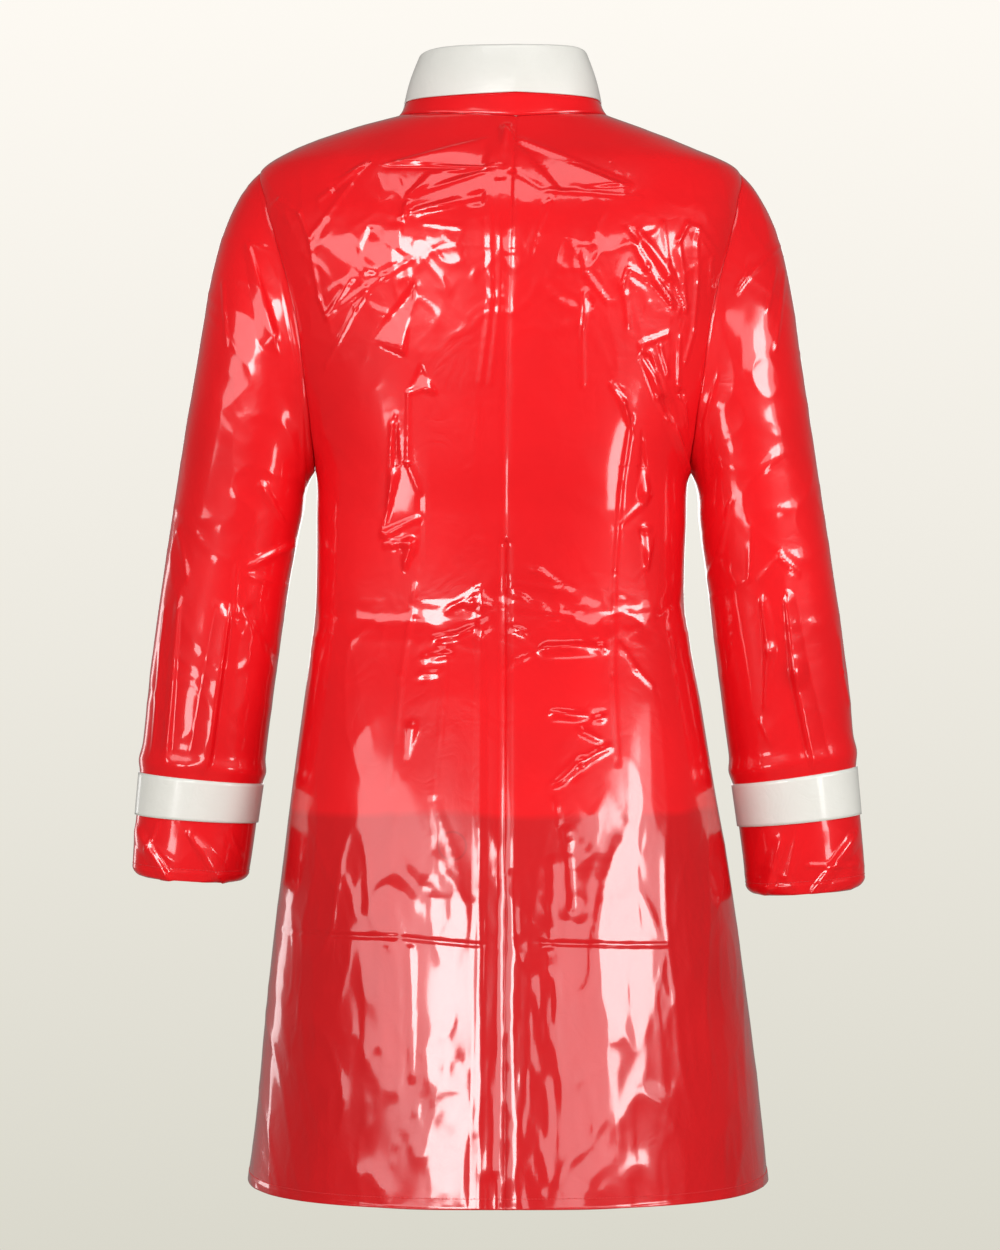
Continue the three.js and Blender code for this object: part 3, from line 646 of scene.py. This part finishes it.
@dataclass(frozen=True)
class Workshop:
    """The films and the thread, and how a piece is made of them."""

    red: Material
    sleeve_red: Material
    white: Material
    thread: Material
    pitch: float = 2.8

    def wear(self, piece: Piece, material: Material) -> None:
        """Gives a piece its material and its place on the body.

        Args:
            piece: the piece.
            material: its material.
        """
        piece.data.materials.append(material)
        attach(piece, "root")
        LOG.info("%s: %d faces", piece.name, len(piece.data.polygons))

    def tailor(
        self, node: str, grid: Array, film: Material, closed: bool = False, seam: Array | None = None
    ) -> None:
        """Makes a cloth piece in place of a CAD node, with any stitches on it.

        Args:
            node: the CAD node that it stands for.
            grid: its outer face, rows by columns by 3 in millimetres.
            film: its material.
            closed: whether it goes all round, as a sleeve does.
            seam: the line of its stitches.
        """
        piece = make_mesh(f"{node}_film", grid, closed)
        solid = piece.modifiers.new("film", "SOLIDIFY")
        solid.thickness = (WHITE_FILM if film is self.white else FILM) * MM
        solid.offset = -1
        solid.use_even_offset = False
        self.wear(piece, film)
        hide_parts(node)
        stitches = [] if seam is None else [self.sew(f"{node}_stitches", seam)]

    def sew(self, name: str, line: Array) -> Piece:
        """Makes a row of stitches, each a low lozenge of thread 2 mm long with its top bevelled in.

        Args:
            name: the piece's name.
            line: points of the seam in millimetres, on the film's outer face, to the right from outside.

        Returns:
            The piece.
        """
        steps = np.concatenate([[0], np.cumsum(np.linalg.norm(np.diff(line, axis=0), axis=1))])
        at = np.arange(self.pitch, steps[-1] - self.pitch, self.pitch)
        here, ahead = (np.stack([np.interp(s, steps, axis) for axis in line.T], -1) for s in (at, at + 0.5))
        along, up = unit(ahead - here), np.array([0, 0, 1.0])
        out = unit(np.cross(along, up))
        corners = [(-1.0, -0.3, 0), (1.0, -0.3, 0), (1.0, 0.3, 0), (-1.0, 0.3, 0)]
        corners += [(s * 0.75, w * 0.5, 0.3) for s, w, _ in corners]
        stitch = [here + along * s + up * w + out * h for s, w, h in corners]
        sides = [(3, 2, 1, 0), (4, 5, 6, 7), (0, 1, 5, 4), (1, 2, 6, 5), (2, 3, 7, 6), (3, 0, 4, 7)]
        faces = np.arange(len(at))[:, None, None] * 8 + np.array(sides)
        piece = mesh_object(name, np.stack(stitch, axis=1).reshape(-1, 3) * MM, faces.reshape(-1, 4))
        self.wear(piece, self.thread)
        return piece


# Finishes


def linear(colour: str) -> tuple[float, float, float, float]:
    """An sRGB colour written as six hex digits, as linear red, green, blue and an alpha of 1."""
    parts = [int(colour[i : i + 2], 16) / 255 for i in (1, 3, 5)]
    return (*[c / 12.92 if c <= 0.04045 else ((c + 0.055) / 1.055) ** 2.4 for c in parts], 1.0)


def set_inputs(tree: Tree, node: Node, **values: object) -> None:
    """Gives a node's inputs values or links, each named with _ for a space or by _ and its number.

    Args:
        tree: the node's tree.
        node: the node.
        values: a value or a socket for each input.
    """
    for key, value in values.items():
        socket = node.inputs[int(key[1:])] if key[1:].isdigit() else node.inputs[key.replace("_", " ")]
        if isinstance(value, Socket):
            tree.links.new(value, socket)
        else:
            socket.default_value = value


def add_node(tree: Tree, kind: str, output: int | str = 0, **settings: object) -> Socket:
    """Adds a shader node.

    Args:
        tree: the material's node tree.
        kind: the node's type, without ShaderNode.
        output: the number or name of the output that is wanted.
        settings: attributes of the node, or values or sockets for its inputs.

    Returns:
        That output's socket.
    """
    node = tree.nodes.new(f"ShaderNode{kind}")
    attributes = {key for key in settings if hasattr(node, key)}
    for key in attributes:
        setattr(node, key, settings[key])
    set_inputs(tree, node, **{key: value for key, value in settings.items() if key not in attributes})
    return node.outputs[output]


def new_material(name: str) -> tuple[Material, Tree, Node]:
    """A material with a principled shader: the material, its tree and the shader.

    Args:
        name: the material's name.

    Returns:
        The material, its node tree and its shader.
    """
    material = bpy.data.materials.new(name)
    material.use_nodes = True
    return material, material.node_tree, material.node_tree.nodes["Principled BSDF"]


def crumple_bump(tree: Tree, place: Socket, size: float, depth: float) -> Socket:
    """A bump of small crinkles and orange peel.

    Args:
        tree: the material's node tree.
        place: the place's socket.
        size: the typical distance between crinkles in metres.
        depth: the crinkles' depth in metres.

    Returns:
        The bump's socket.
    """
    crinkle = add_node(tree, "TexNoise", "Fac", Vector=place, Scale=1 / size, Detail=3.0, Distortion=1.1)
    centred = add_node(tree, "Math", operation="SUBTRACT", _0=crinkle, _1=0.5)
    ridge = add_node(tree, "Math", operation="ABSOLUTE", _0=centred)
    # Orange peel about 4 mm across, coarser than on real film so that it shows.
    peel = add_node(tree, "TexNoise", "Fac", Vector=place, Scale=260.0, Detail=1.0)
    fine = add_node(tree, "Math", operation="MULTIPLY", _0=peel, _1=0.05)
    height = add_node(tree, "Math", operation="ADD", _0=ridge, _1=fine)
    return add_node(tree, "Bump", Height=height, Distance=depth, Strength=0.5)


@dataclass(frozen=True)
class RedFilm:
    """Slightly translucent glossy red PVC film with painted shade below the hips, where a single layer
    hangs.
    """

    # Polished cast film: a hard clear skin that mirrors the lights over a deep red that glows a little.

    name: str = "red_pvc_film"
    # upper is the film's red; lower is painted shade, the same film's red made deeper below the edge
    # height.
    upper: str = "#d80e16"
    lower: str = "#be0f15"
    edge: float = -0.577
    stud: tuple[float, float, float] = (-0.041, 0.0, -0.602)
    stud_radius: float = 0.011

    def seen_stud(self, tree: Tree, place: Socket) -> Socket:
        """The faint ring of the lowest press stud, showing through the back.

        Args:
            tree: the material's node tree.
            place: the place's socket.

        Returns:
            A socket from 0 away from the ring to 1 on it.
        """
        flat = add_node(tree, "VectorMath", operation="MULTIPLY", _0=place, _1=(1, 0, 1))
        away = add_node(tree, "VectorMath", "Value", operation="DISTANCE", _0=flat, _1=self.stud)
        off = add_node(tree, "Math", operation="SUBTRACT", _0=away, _1=self.stud_radius)
        size = add_node(tree, "Math", operation="ABSOLUTE", _0=off)
        line = add_node(tree, "MapRange", Value=size, From_Min=0.0014, From_Max=0.0004)
        depth = add_node(tree, "SeparateXYZ", 1, Vector=place)
        behind = add_node(tree, "Math", operation="LESS_THAN", _0=depth, _1=0.0)
        return add_node(tree, "Math", operation="MULTIPLY", _0=line, _1=behind)

    def build(self) -> Material:
        """Makes the material: a red with painted shade below the hips, mottled over 110 mm, and a glossy
        skin with crinkles.

        Returns:
            The material.
        """
        material, tree, shader = new_material(self.name)
        place = add_node(tree, "TexCoord", "Object")
        height = add_node(tree, "SeparateXYZ", 2, Vector=place)
        drift = add_node(tree, "TexNoise", "Fac", Vector=place, Scale=9.0, Detail=3.0)
        wavy = add_node(tree, "Math", operation="MULTIPLY_ADD", _0=drift, _1=0.02, _2=height)
        # Painted shade: between 12 and 6 mm above the edge, along a wavy line, the red turns to the deeper
        # lower red.
        top, bottom = self.edge + 0.012, self.edge + 0.006
        depth = add_node(tree, "MapRange", Value=wavy, From_Min=top, From_Max=bottom)
        reds_with_painted_shade = {"_6": linear(self.upper), "_7": linear(self.lower)}
        red = add_node(tree, "Mix", 2, data_type="RGBA", Factor=depth, **reds_with_painted_shade)
        ring = add_node(tree, "MapRange", Value=self.seen_stud(tree, place), To_Min=1.0, To_Max=0.8)
        ends = {"From_Min": 0.3, "From_Max": 0.7, "To_Min": 0.9, "To_Max": 1.06}
        mottle = add_node(tree, "MapRange", Value=drift, **ends)
        value = add_node(tree, "Math", operation="MULTIPLY", _0=ring, _1=mottle)
        toned = add_node(tree, "HueSaturation", Color=red, Value=value)
        bump = crumple_bump(tree, place, 0.03, 0.001)
        skin = {"Roughness": 0.3, "Specular_IOR_Level": 0.18, "Coat_Weight": 1.0, "Coat_Roughness": 0.08}
        through = 0.06  # the light that comes through the film
        set_inputs(tree, shader, Base_Color=toned, Normal=bump, **skin)
        set_inputs(tree, shader, Emission_Color=toned, Emission_Strength=through)
        return material


@dataclass(frozen=True)
class WhiteFilm:
    """Glossy white PVC film of the collar and the sleeve bands."""

    # Filled cast film: opaque, with a thinner clear skin and softer lights than the red.

    colours: tuple[str, str] = ("#d9d8d3", "#d3d2cc")

    def build(self) -> Material:
        """Makes the material: a warm white that drifts over 25 mm, with a glossy skin.

        Returns:
            The material.
        """
        material, tree, shader = new_material("white_pvc_film")
        place = add_node(tree, "TexCoord", "Object")
        drift = add_node(tree, "TexNoise", "Fac", Vector=place, Scale=40.0, Detail=3.0)
        whites = dict(zip(("_6", "_7"), map(linear, self.colours)))
        tone = add_node(tree, "Mix", 2, data_type="RGBA", Factor=drift, **whites)
        skin = {"Roughness": 0.3, "Coat_Weight": 0.4, "Coat_Roughness": 0.1}
        set_inputs(tree, shader, Base_Color=tone, Normal=crumple_bump(tree, place, 0.025, 0.0014), **skin)
        return material


@dataclass(frozen=True)
class MouldedPlastic:
    """Red nylon of the press studs' caps, moulded smooth, and red polyester of the thread, spun."""

    # The caps have broad soft highlights. The rougher thread has next to none.

    name: str
    colour: str
    roughness: float

    def build(self) -> Material:
        """Makes the material: one colour over a fine grain, drawn about 1 mm across so that it shows.

        Returns:
            The material.
        """
        material, tree, shader = new_material(self.name)
        place = add_node(tree, "TexCoord", "Object")
        grain = add_node(tree, "TexNoise", "Fac", Vector=place, Scale=900.0, Detail=2.0)
        value = add_node(tree, "MapRange", Value=grain, To_Min=0.92, To_Max=1.05)
        tone = add_node(tree, "HueSaturation", Color=linear(self.colour), Value=value)
        bump = add_node(tree, "Bump", Height=grain, Distance=0.0002, Strength=0.3)
        set_inputs(tree, shader, Base_Color=tone, Normal=bump, Roughness=self.roughness)
        return material


# Pieces


@dataclass
class Panel:
    """One quarter of the coat's body, from the centre line to the side seam and from hem to neck.

    It lies smooth within seam_calm of its side edge. The blades and the waist are bands of crumpling, by
    their middle height and reach.
    """

    name: str
    face: Face
    side: Side
    start_x: float
    creases: Creases
    facets: Facets
    coarseness: float
    columns: int
    lap_lift: float = 0.0
    lap_end: float = 25.0
    lap_ramp: float = 20.0
    seam_calm: float = 22.0
    seam_dip: float = 2.5
    stitch_rise: float = 8.0
    allowance: float = 3.0
    tuck: float = 1.4
    hem_top: float = -878.5
    skirt_top: float = -560.0
    waist_fold: float = -414.0
    blades: tuple[float, float] = (-135.0, 65.0)
    waist: tuple[float, float] = (-428.0, 22.0)

    def span(self, low: float, high: float, step: float) -> Array:
        """Even rows from a low end up to, but without, a high one."""
        return np.linspace(low, high, max(2, round((high - low) / step / self.coarseness)), endpoint=False)

    def rows(self) -> tuple[Array, Array]:
        """Where the rows end outwards: up the side seam, round the armhole and along the shoulder.

        Returns:
            The heights, and how far behind or before the side seams the rows end, as two columns.
        """
        spans = ((-887, -872, 1.0), (-872, -686, 3.8), (-686, -660, 1.5), (-660, TORSO.underarm, 2.3))
        below = [self.span(*span) for span in spans]
        skirt = np.concatenate(below)
        around = math.pi - self.span(0, math.pi, math.pi / 156)
        shoulder = self.span(TORSO.shoulder_tip, 0, 1.6)
        heights = np.concatenate([skirt, TORSO.armhole_height(around), shoulder, [0.0]])
        depth = np.concatenate([0 * skirt, np.sin(around), 0 * shoulder, [0.0]])
        return heights[:, None], depth[:, None] * TORSO.armhole_depth[self.face]

    def points(self) -> Array:
        """The panel's outer face: the bare form raised outwards by its hem, seams, creases and facets.

        Returns:
            Rows by columns by 3, in millimetres.
        """
        heights, seam_depth = self.rows()
        last = TORSO.turn_at_depth(self.face, np.maximum(seam_depth, SEAM_GAP / 2), heights)
        first = TORSO.turn_at_x(self.start_x, heights)
        share = np.linspace(0, 1, self.columns)[None, :]
        x = TORSO.x_at_turn(first + (last - first) * share, heights)
        height = heights - TORSO.dip(self.face, heights, np.abs(x) / TORSO.x_at_turn(last, heights))
        turn = TORSO.turn_at_x(x, height)
        angle = TORSO.angle_of(self.face, self.side, turn)
        bare = TORSO.point(angle, height)
        outward = TORSO.normal(angle, height)
        calm = (last - turn) * 150
        lift = self.relief(bare, calm) + self.facets.lift(bare, outward) * ease(calm / self.seam_calm)
        grid = self.with_allowances(bare + outward * lift[..., None])
        leftwards = (self.side is Side.LEFT) == (self.face is Face.BACK)
        return grid[:, ::-1] if leftwards else grid

    def with_allowances(self, grid: Array) -> Array:
        """Adds a column past the centre edge of a back panel, tucked under the neighbouring panel.

        Args:
            grid: rows by columns by 3, with the centre edge first.

        Returns:
            The grid, one column wider on a back panel.
        """
        if self.face is Face.FRONT:
            return grid
        onward = unit(grid[:, :1] - grid[:, 1:2]) * self.allowance
        return np.concatenate([grid[:, :1] + (onward + np.array([0, self.tuck, 0])), grid], axis=1)

    def relief(self, bare: Array, from_seam: Array) -> Array:
        """The cloth's lift over the bare form.

        Args:
            bare: the form's points.
            from_seam: about how far each lies from the panel's side edge, in millimetres.

        Returns:
            The lift in millimetres.
        """
        x, z = bare[..., 0], bare[..., 2]
        skirt = ease((self.skirt_top - z) / 60)
        lift = self.creases.lift(x, z) + (0.25 + 0.45 * skirt) * crumple(x, z / 2.4, 30, 5)
        centre = 0
        if self.face is Face.BACK:
            lift += 0.34 * skirt * crumple(x, z / 3.2, 13, 31)
            lift += 0.5 * crumple(x, z, 17, 41) * bell(z, *self.blades)
            lift += 0.5 * crumple(x / 1.8, z, 10, 21) * bell(z, *self.waist)
            fold = self.waist_fold + 30 * (value_noise(x / 24, 0 * x, 51) - 0.5)
            lift -= 1.5 * np.maximum(1 - np.abs(z - fold) / 16, 0)
            centre = 0.6 * bell(x, TORSO.sections.read("seam", z), self.seam_dip)
        lift = lift * ease(from_seam / self.seam_calm) - centre - 0.4 * bell(from_seam, 0, self.seam_dip)
        lift += 0.5 * ease((self.hem_top - z) / 1.5)
        if self.lap_lift:
            lift += self.lap_lift * ease((self.lap_end + self.lap_ramp - x) / self.lap_ramp)
        return lift

    def build(self, shop: Workshop) -> None:
        """Makes the panel in film, with the stitches above its hem, where the rows are 1 mm apart."""
        grid = self.points()
        shop.tailor(self.name, grid, shop.red, seam=grid[round(self.stitch_rise / self.coarseness)])


# Rings along the sleeves: their ends on the outer and inner side, their depth and their forward bend.
STATIONS = NamedTable(
    "station left_out_x left_out_z left_in_x left_in_z "
    "right_out_x right_out_z right_in_x right_in_z depth forward",
    [
        (0, 203.4, -46, 158, -296, 196.6, -46, 156, -296, 59, -1),
        (1, 214, -57, 159, -298, 208, -58, 157, -298, 60, 0),
        (2, 228, -80, 161.5, -302, 223, -82, 159, -302, 61, 1),
        (3, 240, -113, 164, -308, 234, -113, 161.5, -309, 61, 1),
        (4, 249, -155, 166.5, -317, 243, -155, 163.5, -320, 60, 2),
        (5, 257, -202, 168, -330, 250, -204, 164, -336, 58, 3),
        (6, 266, -255, 172.5, -350, 258, -258, 167, -358, 55, 4),
        (7, 275, -310, 178, -378, 267, -314, 171, -388, 52, 6),
        (8, 284, -368, 184, -414, 276, -372, 175.5, -424, 49, 8),
        (9, 293, -428, 190.5, -458, 285, -430, 181, -466, 47, 11),
        (10, 300, -484, 197, -505, 292, -487, 187, -512, 45, 14),
        (11, 306, -540, 203, -551, 297.5, -545, 194, -560, 42, 17),
        (12, 310.5, -585, 209, -592, 302, -592, 200, -602, 40, 20),
        (13, 313, -616, 213.5, -623, 305, -625, 204, -633, 38, 21),
        (14, 314, -637, 217, -643, 306, -647, 206, -654, 37, 22),
    ],
)


@dataclass
class Sleeve:
    """A set-in sleeve: rings that fan out from the armhole to the cuff, with the white band round it."""

    side: Side
    band: tuple[float, float]
    creases: Creases
    stitch_station: float = 13.5
    turn_up: float = 13.55

    def ring(self, around: Array, station: Array) -> Array:
        """A point of the plain rings.

        x and z run from the inner to the outer line with the turn's cosine, and y is the depth times its
        sine, behind the sleeve's forward bend. The cuff's lowest 10 mm narrows in a quarter circle.

        Args:
            around: the turn round the sleeve, 0 at its outer line and positive behind.
            station: the place along the sleeve.

        Returns:
            Points with a last axis of x, y and z.
        """
        ends = ("out_x", "out_z", "in_x", "in_z")
        across = {end: STATIONS.read(f"{self.side.name.lower()}_{end}", station) for end in ends}
        corner = 0.8 + 0.2 * np.sqrt(1 - np.clip((station - self.turn_up) / 0.45, 0, 1) ** 2)
        share = (1 + np.cos(around) * corner) / 2
        x = across["in_x"] * (1 - share) + across["out_x"] * share
        z = across["in_z"] * (1 - share) + across["out_z"] * share
        y = STATIONS.read("forward", station) - STATIONS.read("depth", station) * np.sin(around)
        return np.stack([self.side.value * x, y + 0 * z, z], axis=-1)

    def bare(self, around: Array, station: Array) -> Array:
        """The sleeve without creases: the armhole's own shape, fading into the plain rings.

        Args:
            around: the turn round the sleeve.
            station: the place along it.

        Returns:
            Points with a last axis of x, y and z.
        """
        fade = (1 - np.clip(station / 4, 0, 1)) ** 2
        edge = TORSO.armhole(self.side, around)
        return self.ring(around, station) + (edge - self.ring(around, 0 * station)) * fade[..., None]

    def outward(self, around: Array, station: Array) -> Array:
        """The outward direction: the cross product of small steps round the sleeve and along it.

        Args:
            around: the turn round the sleeve.
            station: the place along it.

        Returns:
            Directions of length one.
        """
        along = self.bare(around + 0.02, station) - self.bare(around - 0.02, station)
        down = self.bare(around, station + 0.1) - self.bare(around, np.maximum(station - 0.1, 0))
        return unit(np.cross(along, down)) * self.side.value

    def points(self, around: Array, station: Array, offset: float = 0.0, creased: bool = True) -> Array:
        """The sleeve's outer face, raised by its creases, its seam and the puff above the band.

        Args:
            around: the turn round the sleeve.
            station: the place along it.
            offset: how far the whole face stands out, in millimetres.
            creased: whether the face has its creases.

        Returns:
            Points with a last axis of x, y and z.
        """
        bare = self.bare(around, station)
        lift = np.full(bare.shape[:2], offset)
        if creased:
            x, z = bare[..., 0], bare[..., 2]
            behind = ease(0.5 + np.sin(around))
            first, last = self.band
            calm = 1 - np.exp(-(((station - (first + last) / 2) / 0.75) ** 4))
            calm = calm * ease(station / 1.2)
            facing = ease(-self.outward(around, station)[..., 1] / 0.4)
            lift += self.creases.lift(x, z) * facing * calm
            lift += 0.6 * crumple(x, z, 34, 11 + self.side.value) * behind * calm
            lift += 2.2 * bell(station, first - 0.22, 0.16)
            lift -= 0.4 * bell(station, 0, 0.08)
            lift += 0.4 * ease((station - self.turn_up) / 0.06)
        return bare + self.outward(around, station) * lift[..., None]

    def grid(self, stations: Array, count: int) -> tuple[Array, Array]:
        """Turns, closest together behind, and stations for a closed grid that faces outwards.

        Args:
            stations: the rows' places along the sleeve.
            count: how many columns there are.

        Returns:
            The turns and the stations, each as rows by columns.
        """
        even = np.linspace(0, 2 * math.pi, count, endpoint=False)
        around = even + 0.4 * (np.cos(even) - 1)
        around = around if self.side is Side.LEFT else around[::-1]
        return np.meshgrid(around, stations[::-1])

    def build(self, shop: Workshop) -> None:
        """Makes the sleeve, tucked in a little at the armhole, its cuff's stitches and its band.

        Args:
            shop: the films, and how a piece is made of them.
        """
        name = self.side.name.lower()
        spans = ([0.02, 0.06, 0.12], np.linspace(0.2, 10.4, 165), np.linspace(10.45, 14, 62))
        along = np.concatenate(spans)
        around, station = self.grid(along, 160)
        grid = self.points(around, station)
        tucked = grid[-1] + unit(grid[-1] - grid[-2]) * 2.5 + np.array([-self.side.value * 1.5, 0, 0])
        seam = grid[np.argmin(np.abs(station[:, 0] - self.stitch_station))]
        seam = np.concatenate([seam, seam[:1]])
        shop.tailor(f"sleeve_{name}", np.concatenate([grid, tucked[None]]), shop.sleeve_red, True, seam)
        band = self.points(*self.grid(np.linspace(*self.band, 14), 160), 1.6, creased=False)
        shop.tailor(f"sleeve_band_{name}", band, shop.white, True)


@dataclass
class Collar:
    """A red stand that leans in from the neckline, and a white fall turned down over it."""

    profile: NamedTable = field(
        default_factory=lambda: NamedTable(
            "turn rise lean fall_rise fall_out",
            [
                (0, 58, 8, 20, -1),
                (45, 54, 13, 14, -2.6),
                (90, 46, 20, 11, -5),
                (105, 44, 19.5, 10, -1),
                (120, 42, 18, 6, 4),
                (140, 39, 14, -6, 9),
                (160, 36, 10, -20, 15),
                (180, 34, 8, -22, 17),
            ],
        )
    )
    end_turn: float = 176.0
    spread: float = 0.12
    cap: NamedTable = field(
        default_factory=lambda: NamedTable(
            "share away up",
            [(0, -1.5, 1.2), (0.15, -1.0, 2.0), (0.4, 0.3, 2.3), (0.7, 1.7, 1.6), (1, 2.5, 0.2)],
        )
    )

    def neckline(self, turn: Array) -> Array:
        """Points of the neckline at turns in degrees, 0 at centre back and rising to the right.

        Args:
            turn: the turns, from -180 to 180.

        Returns:
            Points with a last axis of x, y and z.
        """
        sine = np.sin(np.radians(turn))
        width = TORSO.sections.read("half_width", 0.0)
        points = []
        for face in Face:
            height = -TORSO.dip(face, 0.0 * turn, np.abs(sine))
            across = TORSO.turn_at_x(np.abs(sine) * width, height) * np.sign(sine)
            points.append(TORSO.point(face.value * (QUARTER - across), height))
        return np.where((np.abs(turn) > 90)[..., None], points[1], points[0])

    def away(self, turn: Array) -> Array:
        """The level direction away from the neck, square to the neckline.

        Args:
            turn: the turns in degrees.

        Returns:
            Directions of length one.
        """
        ahead = self.neckline(turn + 1) - self.neckline(turn - 1)
        level = np.stack([ahead[..., 1], -ahead[..., 0], 0 * turn], axis=-1)
        return unit(level)

    def stand(self, turn: Array, share: Array) -> Array:
        """A point of the stand: the neckline moved in by a power of the share and up by the share.

        Args:
            turn: the turns in degrees.
            share: the place from the neckline, 0, to the stand's top edge, 1.

        Returns:
            Points with a last axis of x, y and z.
        """
        read, size = self.profile.read, np.abs(turn)
        point = self.neckline(turn) - self.away(turn) * (read("lean", size) * share**0.75)[..., None]
        point[..., 2] += SEAM_GAP + (read("rise", size) - SEAM_GAP) * share
        return point

    def fall(self, turn: Array, share: Array) -> Array:
        """A point of the fall.

        Up to a share of 0.2 it turns over the stand's top edge, and from there it hangs in a slight
        curve to its lower edge.

        Args:
            turn: the turns in degrees.
            share: the place from the stand's top edge, 0, to the fall's lower edge, 1.

        Returns:
            Points with a last axis of x, y and z.
        """
        top = self.stand(turn, np.ones_like(turn))
        over = np.clip(share / 0.2, 0, 1)
        down = np.clip((share - 0.2) / 0.8, 0, 1)
        start = top + self.away(turn) * self.cap.read("away", over)[..., None]
        start[..., 2] += self.cap.read("up", over)
        low_turn = turn * (1 - self.spread * down * (turn / 180) ** 2)
        read, size = self.profile.read, np.abs(low_turn)
        low = self.neckline(low_turn) + self.away(low_turn) * read("fall_out", size)[..., None]
        low[..., 2] += read("fall_rise", size)
        point = start * (1 - down[..., None]) + low * down[..., None]
        return point + self.away(turn) * (1.6 * np.sin(math.pi * down))[..., None]

    def build(self, shop: Workshop) -> None:
        """Makes the stand and the fall.

        Args:
            shop: the films, and how a piece is made of them.
        """
        turns = np.linspace(-self.end_turn, self.end_turn, 260)
        shop.tailor("collar_stand", self.stand(*np.meshgrid(turns, np.linspace(0, 1, 20))), shop.red)
        shop.tailor("collar_fall", self.fall(*np.meshgrid(turns, np.linspace(1, 0, 46))), shop.white)


class Studio:
    """The camera behind the coat, a pale floor and surround, and the soft boxes that the film reflects."""

    def camera(self) -> None:
        """Sets the photograph's viewpoint: level, 2.6 m behind the coat, at the height of its waist."""
        sensor, distance, span = 36, 2.6, 1.05
        data = bpy.data.cameras.new("camera")
        data.lens = sensor * distance / span
        data.sensor_width = sensor
        camera = bpy.data.objects.new("camera", data)
        camera.location = EYE
        camera.rotation_euler = (QUARTER, 0, 0)
        bpy.context.scene.collection.objects.link(camera)
        bpy.context.scene.camera = camera

    def floor(self) -> None:
        """Makes the pale floor 1.6 m below the neck, which the film doesn't mirror."""
        ends = [-3000.0, 3000.0]
        x, y = np.meshgrid(ends, ends)
        piece = make_mesh("floor", np.stack([x, y, 0 * x - 1600], axis=-1))
        piece.visible_glossy = False
        # Matt paint: even, drifting a little over 500 mm, and without highlights.
        material, tree, shader = new_material("matt_floor_paint")
        place = add_node(tree, "TexCoord", "Object")
        drift = add_node(tree, "TexNoise", "Fac", Vector=place, Scale=2.0, Detail=2.0)
        greys = {"_6": linear("#e6e3d9"), "_7": linear("#e2dfd4")}
        tone = add_node(tree, "Mix", 2, data_type="RGBA", Factor=drift, **greys)
        set_inputs(tree, shader, Base_Color=tone, Roughness=0.9)
        piece.data.materials.append(material)

    def surround(self) -> None:
        """Sets the surround: even light for the cloth, dim in its gloss and warm white for the camera."""
        world = bpy.data.worlds.new("surround")
        world.use_nodes = True
        tree = world.node_tree
        along = add_node(tree, "TexCoord", "Generated")
        ahead, up = (add_node(tree, "SeparateXYZ", axis, Vector=along) for axis in (1, 2))
        height = add_node(tree, "MapRange", Value=up, From_Min=-0.2, From_Max=0.2)
        pales = {"_6": linear("#dad8cc"), "_7": linear("#fefaf3")}
        tone = add_node(tree, "Mix", 2, data_type="RGBA", Factor=height, **pales)
        seen = add_node(tree, "Background", Color=tone)
        ends = {"From_Min": 0.3, "From_Max": 0.9, "To_Min": 0.1, "To_Max": 0.25}
        gloss = add_node(tree, "MapRange", Value=ahead, **ends)
        white = linear("#f6f4ee")
        soft, dim = (add_node(tree, "Background", Color=white, Strength=s) for s in (0.36, gloss))
        mirrored, viewed = (add_node(tree, "LightPath", f"Is {ray} Ray") for ray in ("Glossy", "Camera"))
        unseen = add_node(tree, "MixShader", _0=mirrored, _1=soft, _2=dim)
        both = add_node(tree, "MixShader", _0=viewed, _1=unseen, _2=seen)
        tree.links.new(both, tree.nodes["World Output"].inputs["Surface"])
        bpy.context.scene.world = world
        bpy.context.scene.view_settings.view_transform = "Standard"

    def build(self) -> None:
        """Sets up the camera, the floor, the surround and the lights."""
        self.camera()
        self.floor()
        self.surround()
        for box in (*MAIN_BOXES.values(), *EXTRA_BOXES):
            box.build()


def main() -> None:
    """Builds the studio and every piece of the coat."""
    logging.basicConfig(level=logging.INFO, format="%(message)s")
    Studio().build()
    plastic = MouldedPlastic("red_stud_nylon", "#b5161b", 0.25).build()
    shop = Workshop(
        red=RedFilm().build(),
        # The sleeves' red has no painted shade below the hips.
        sleeve_red=RedFilm("red_pvc_film_sleeves", lower="#d80e16").build(),
        white=WhiteFilm().build(),
        thread=MouldedPlastic("red_polyester_thread", "#d8262b", 0.6).build(),
    )
    plain, half_gap = (Creases(), Facets()), SEAM_GAP / 2
    panels = [
        Panel("back_left", Face.BACK, Side.LEFT, half_gap, BACK_CREASES, BACK_FACETS, 1.0, 111),
        Panel("back_right", Face.BACK, Side.RIGHT, half_gap, BACK_CREASES, BACK_FACETS, 1.0, 111),
        Panel("front_left", Face.FRONT, Side.LEFT, -15, *plain, 2.0, 72),
        Panel("front_right", Face.FRONT, Side.RIGHT, -65, *plain, 2.0, 92, lap_lift=2.1),
    ]
    left = Sleeve(Side.LEFT, (11.2, 12.02), LEFT_SLEEVE_CREASES)
    right = Sleeve(Side.RIGHT, (11.0, 11.84), RIGHT_SLEEVE_CREASES)
    for part in (*panels, left, right, Collar()):
        part.build(shop)
    for number in range(1, 6):
        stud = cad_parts[f"press_stud_{number}"]
        stud.data.materials.clear()
        stud.data.materials.append(plastic)


if __name__ == "__main__":
    main()
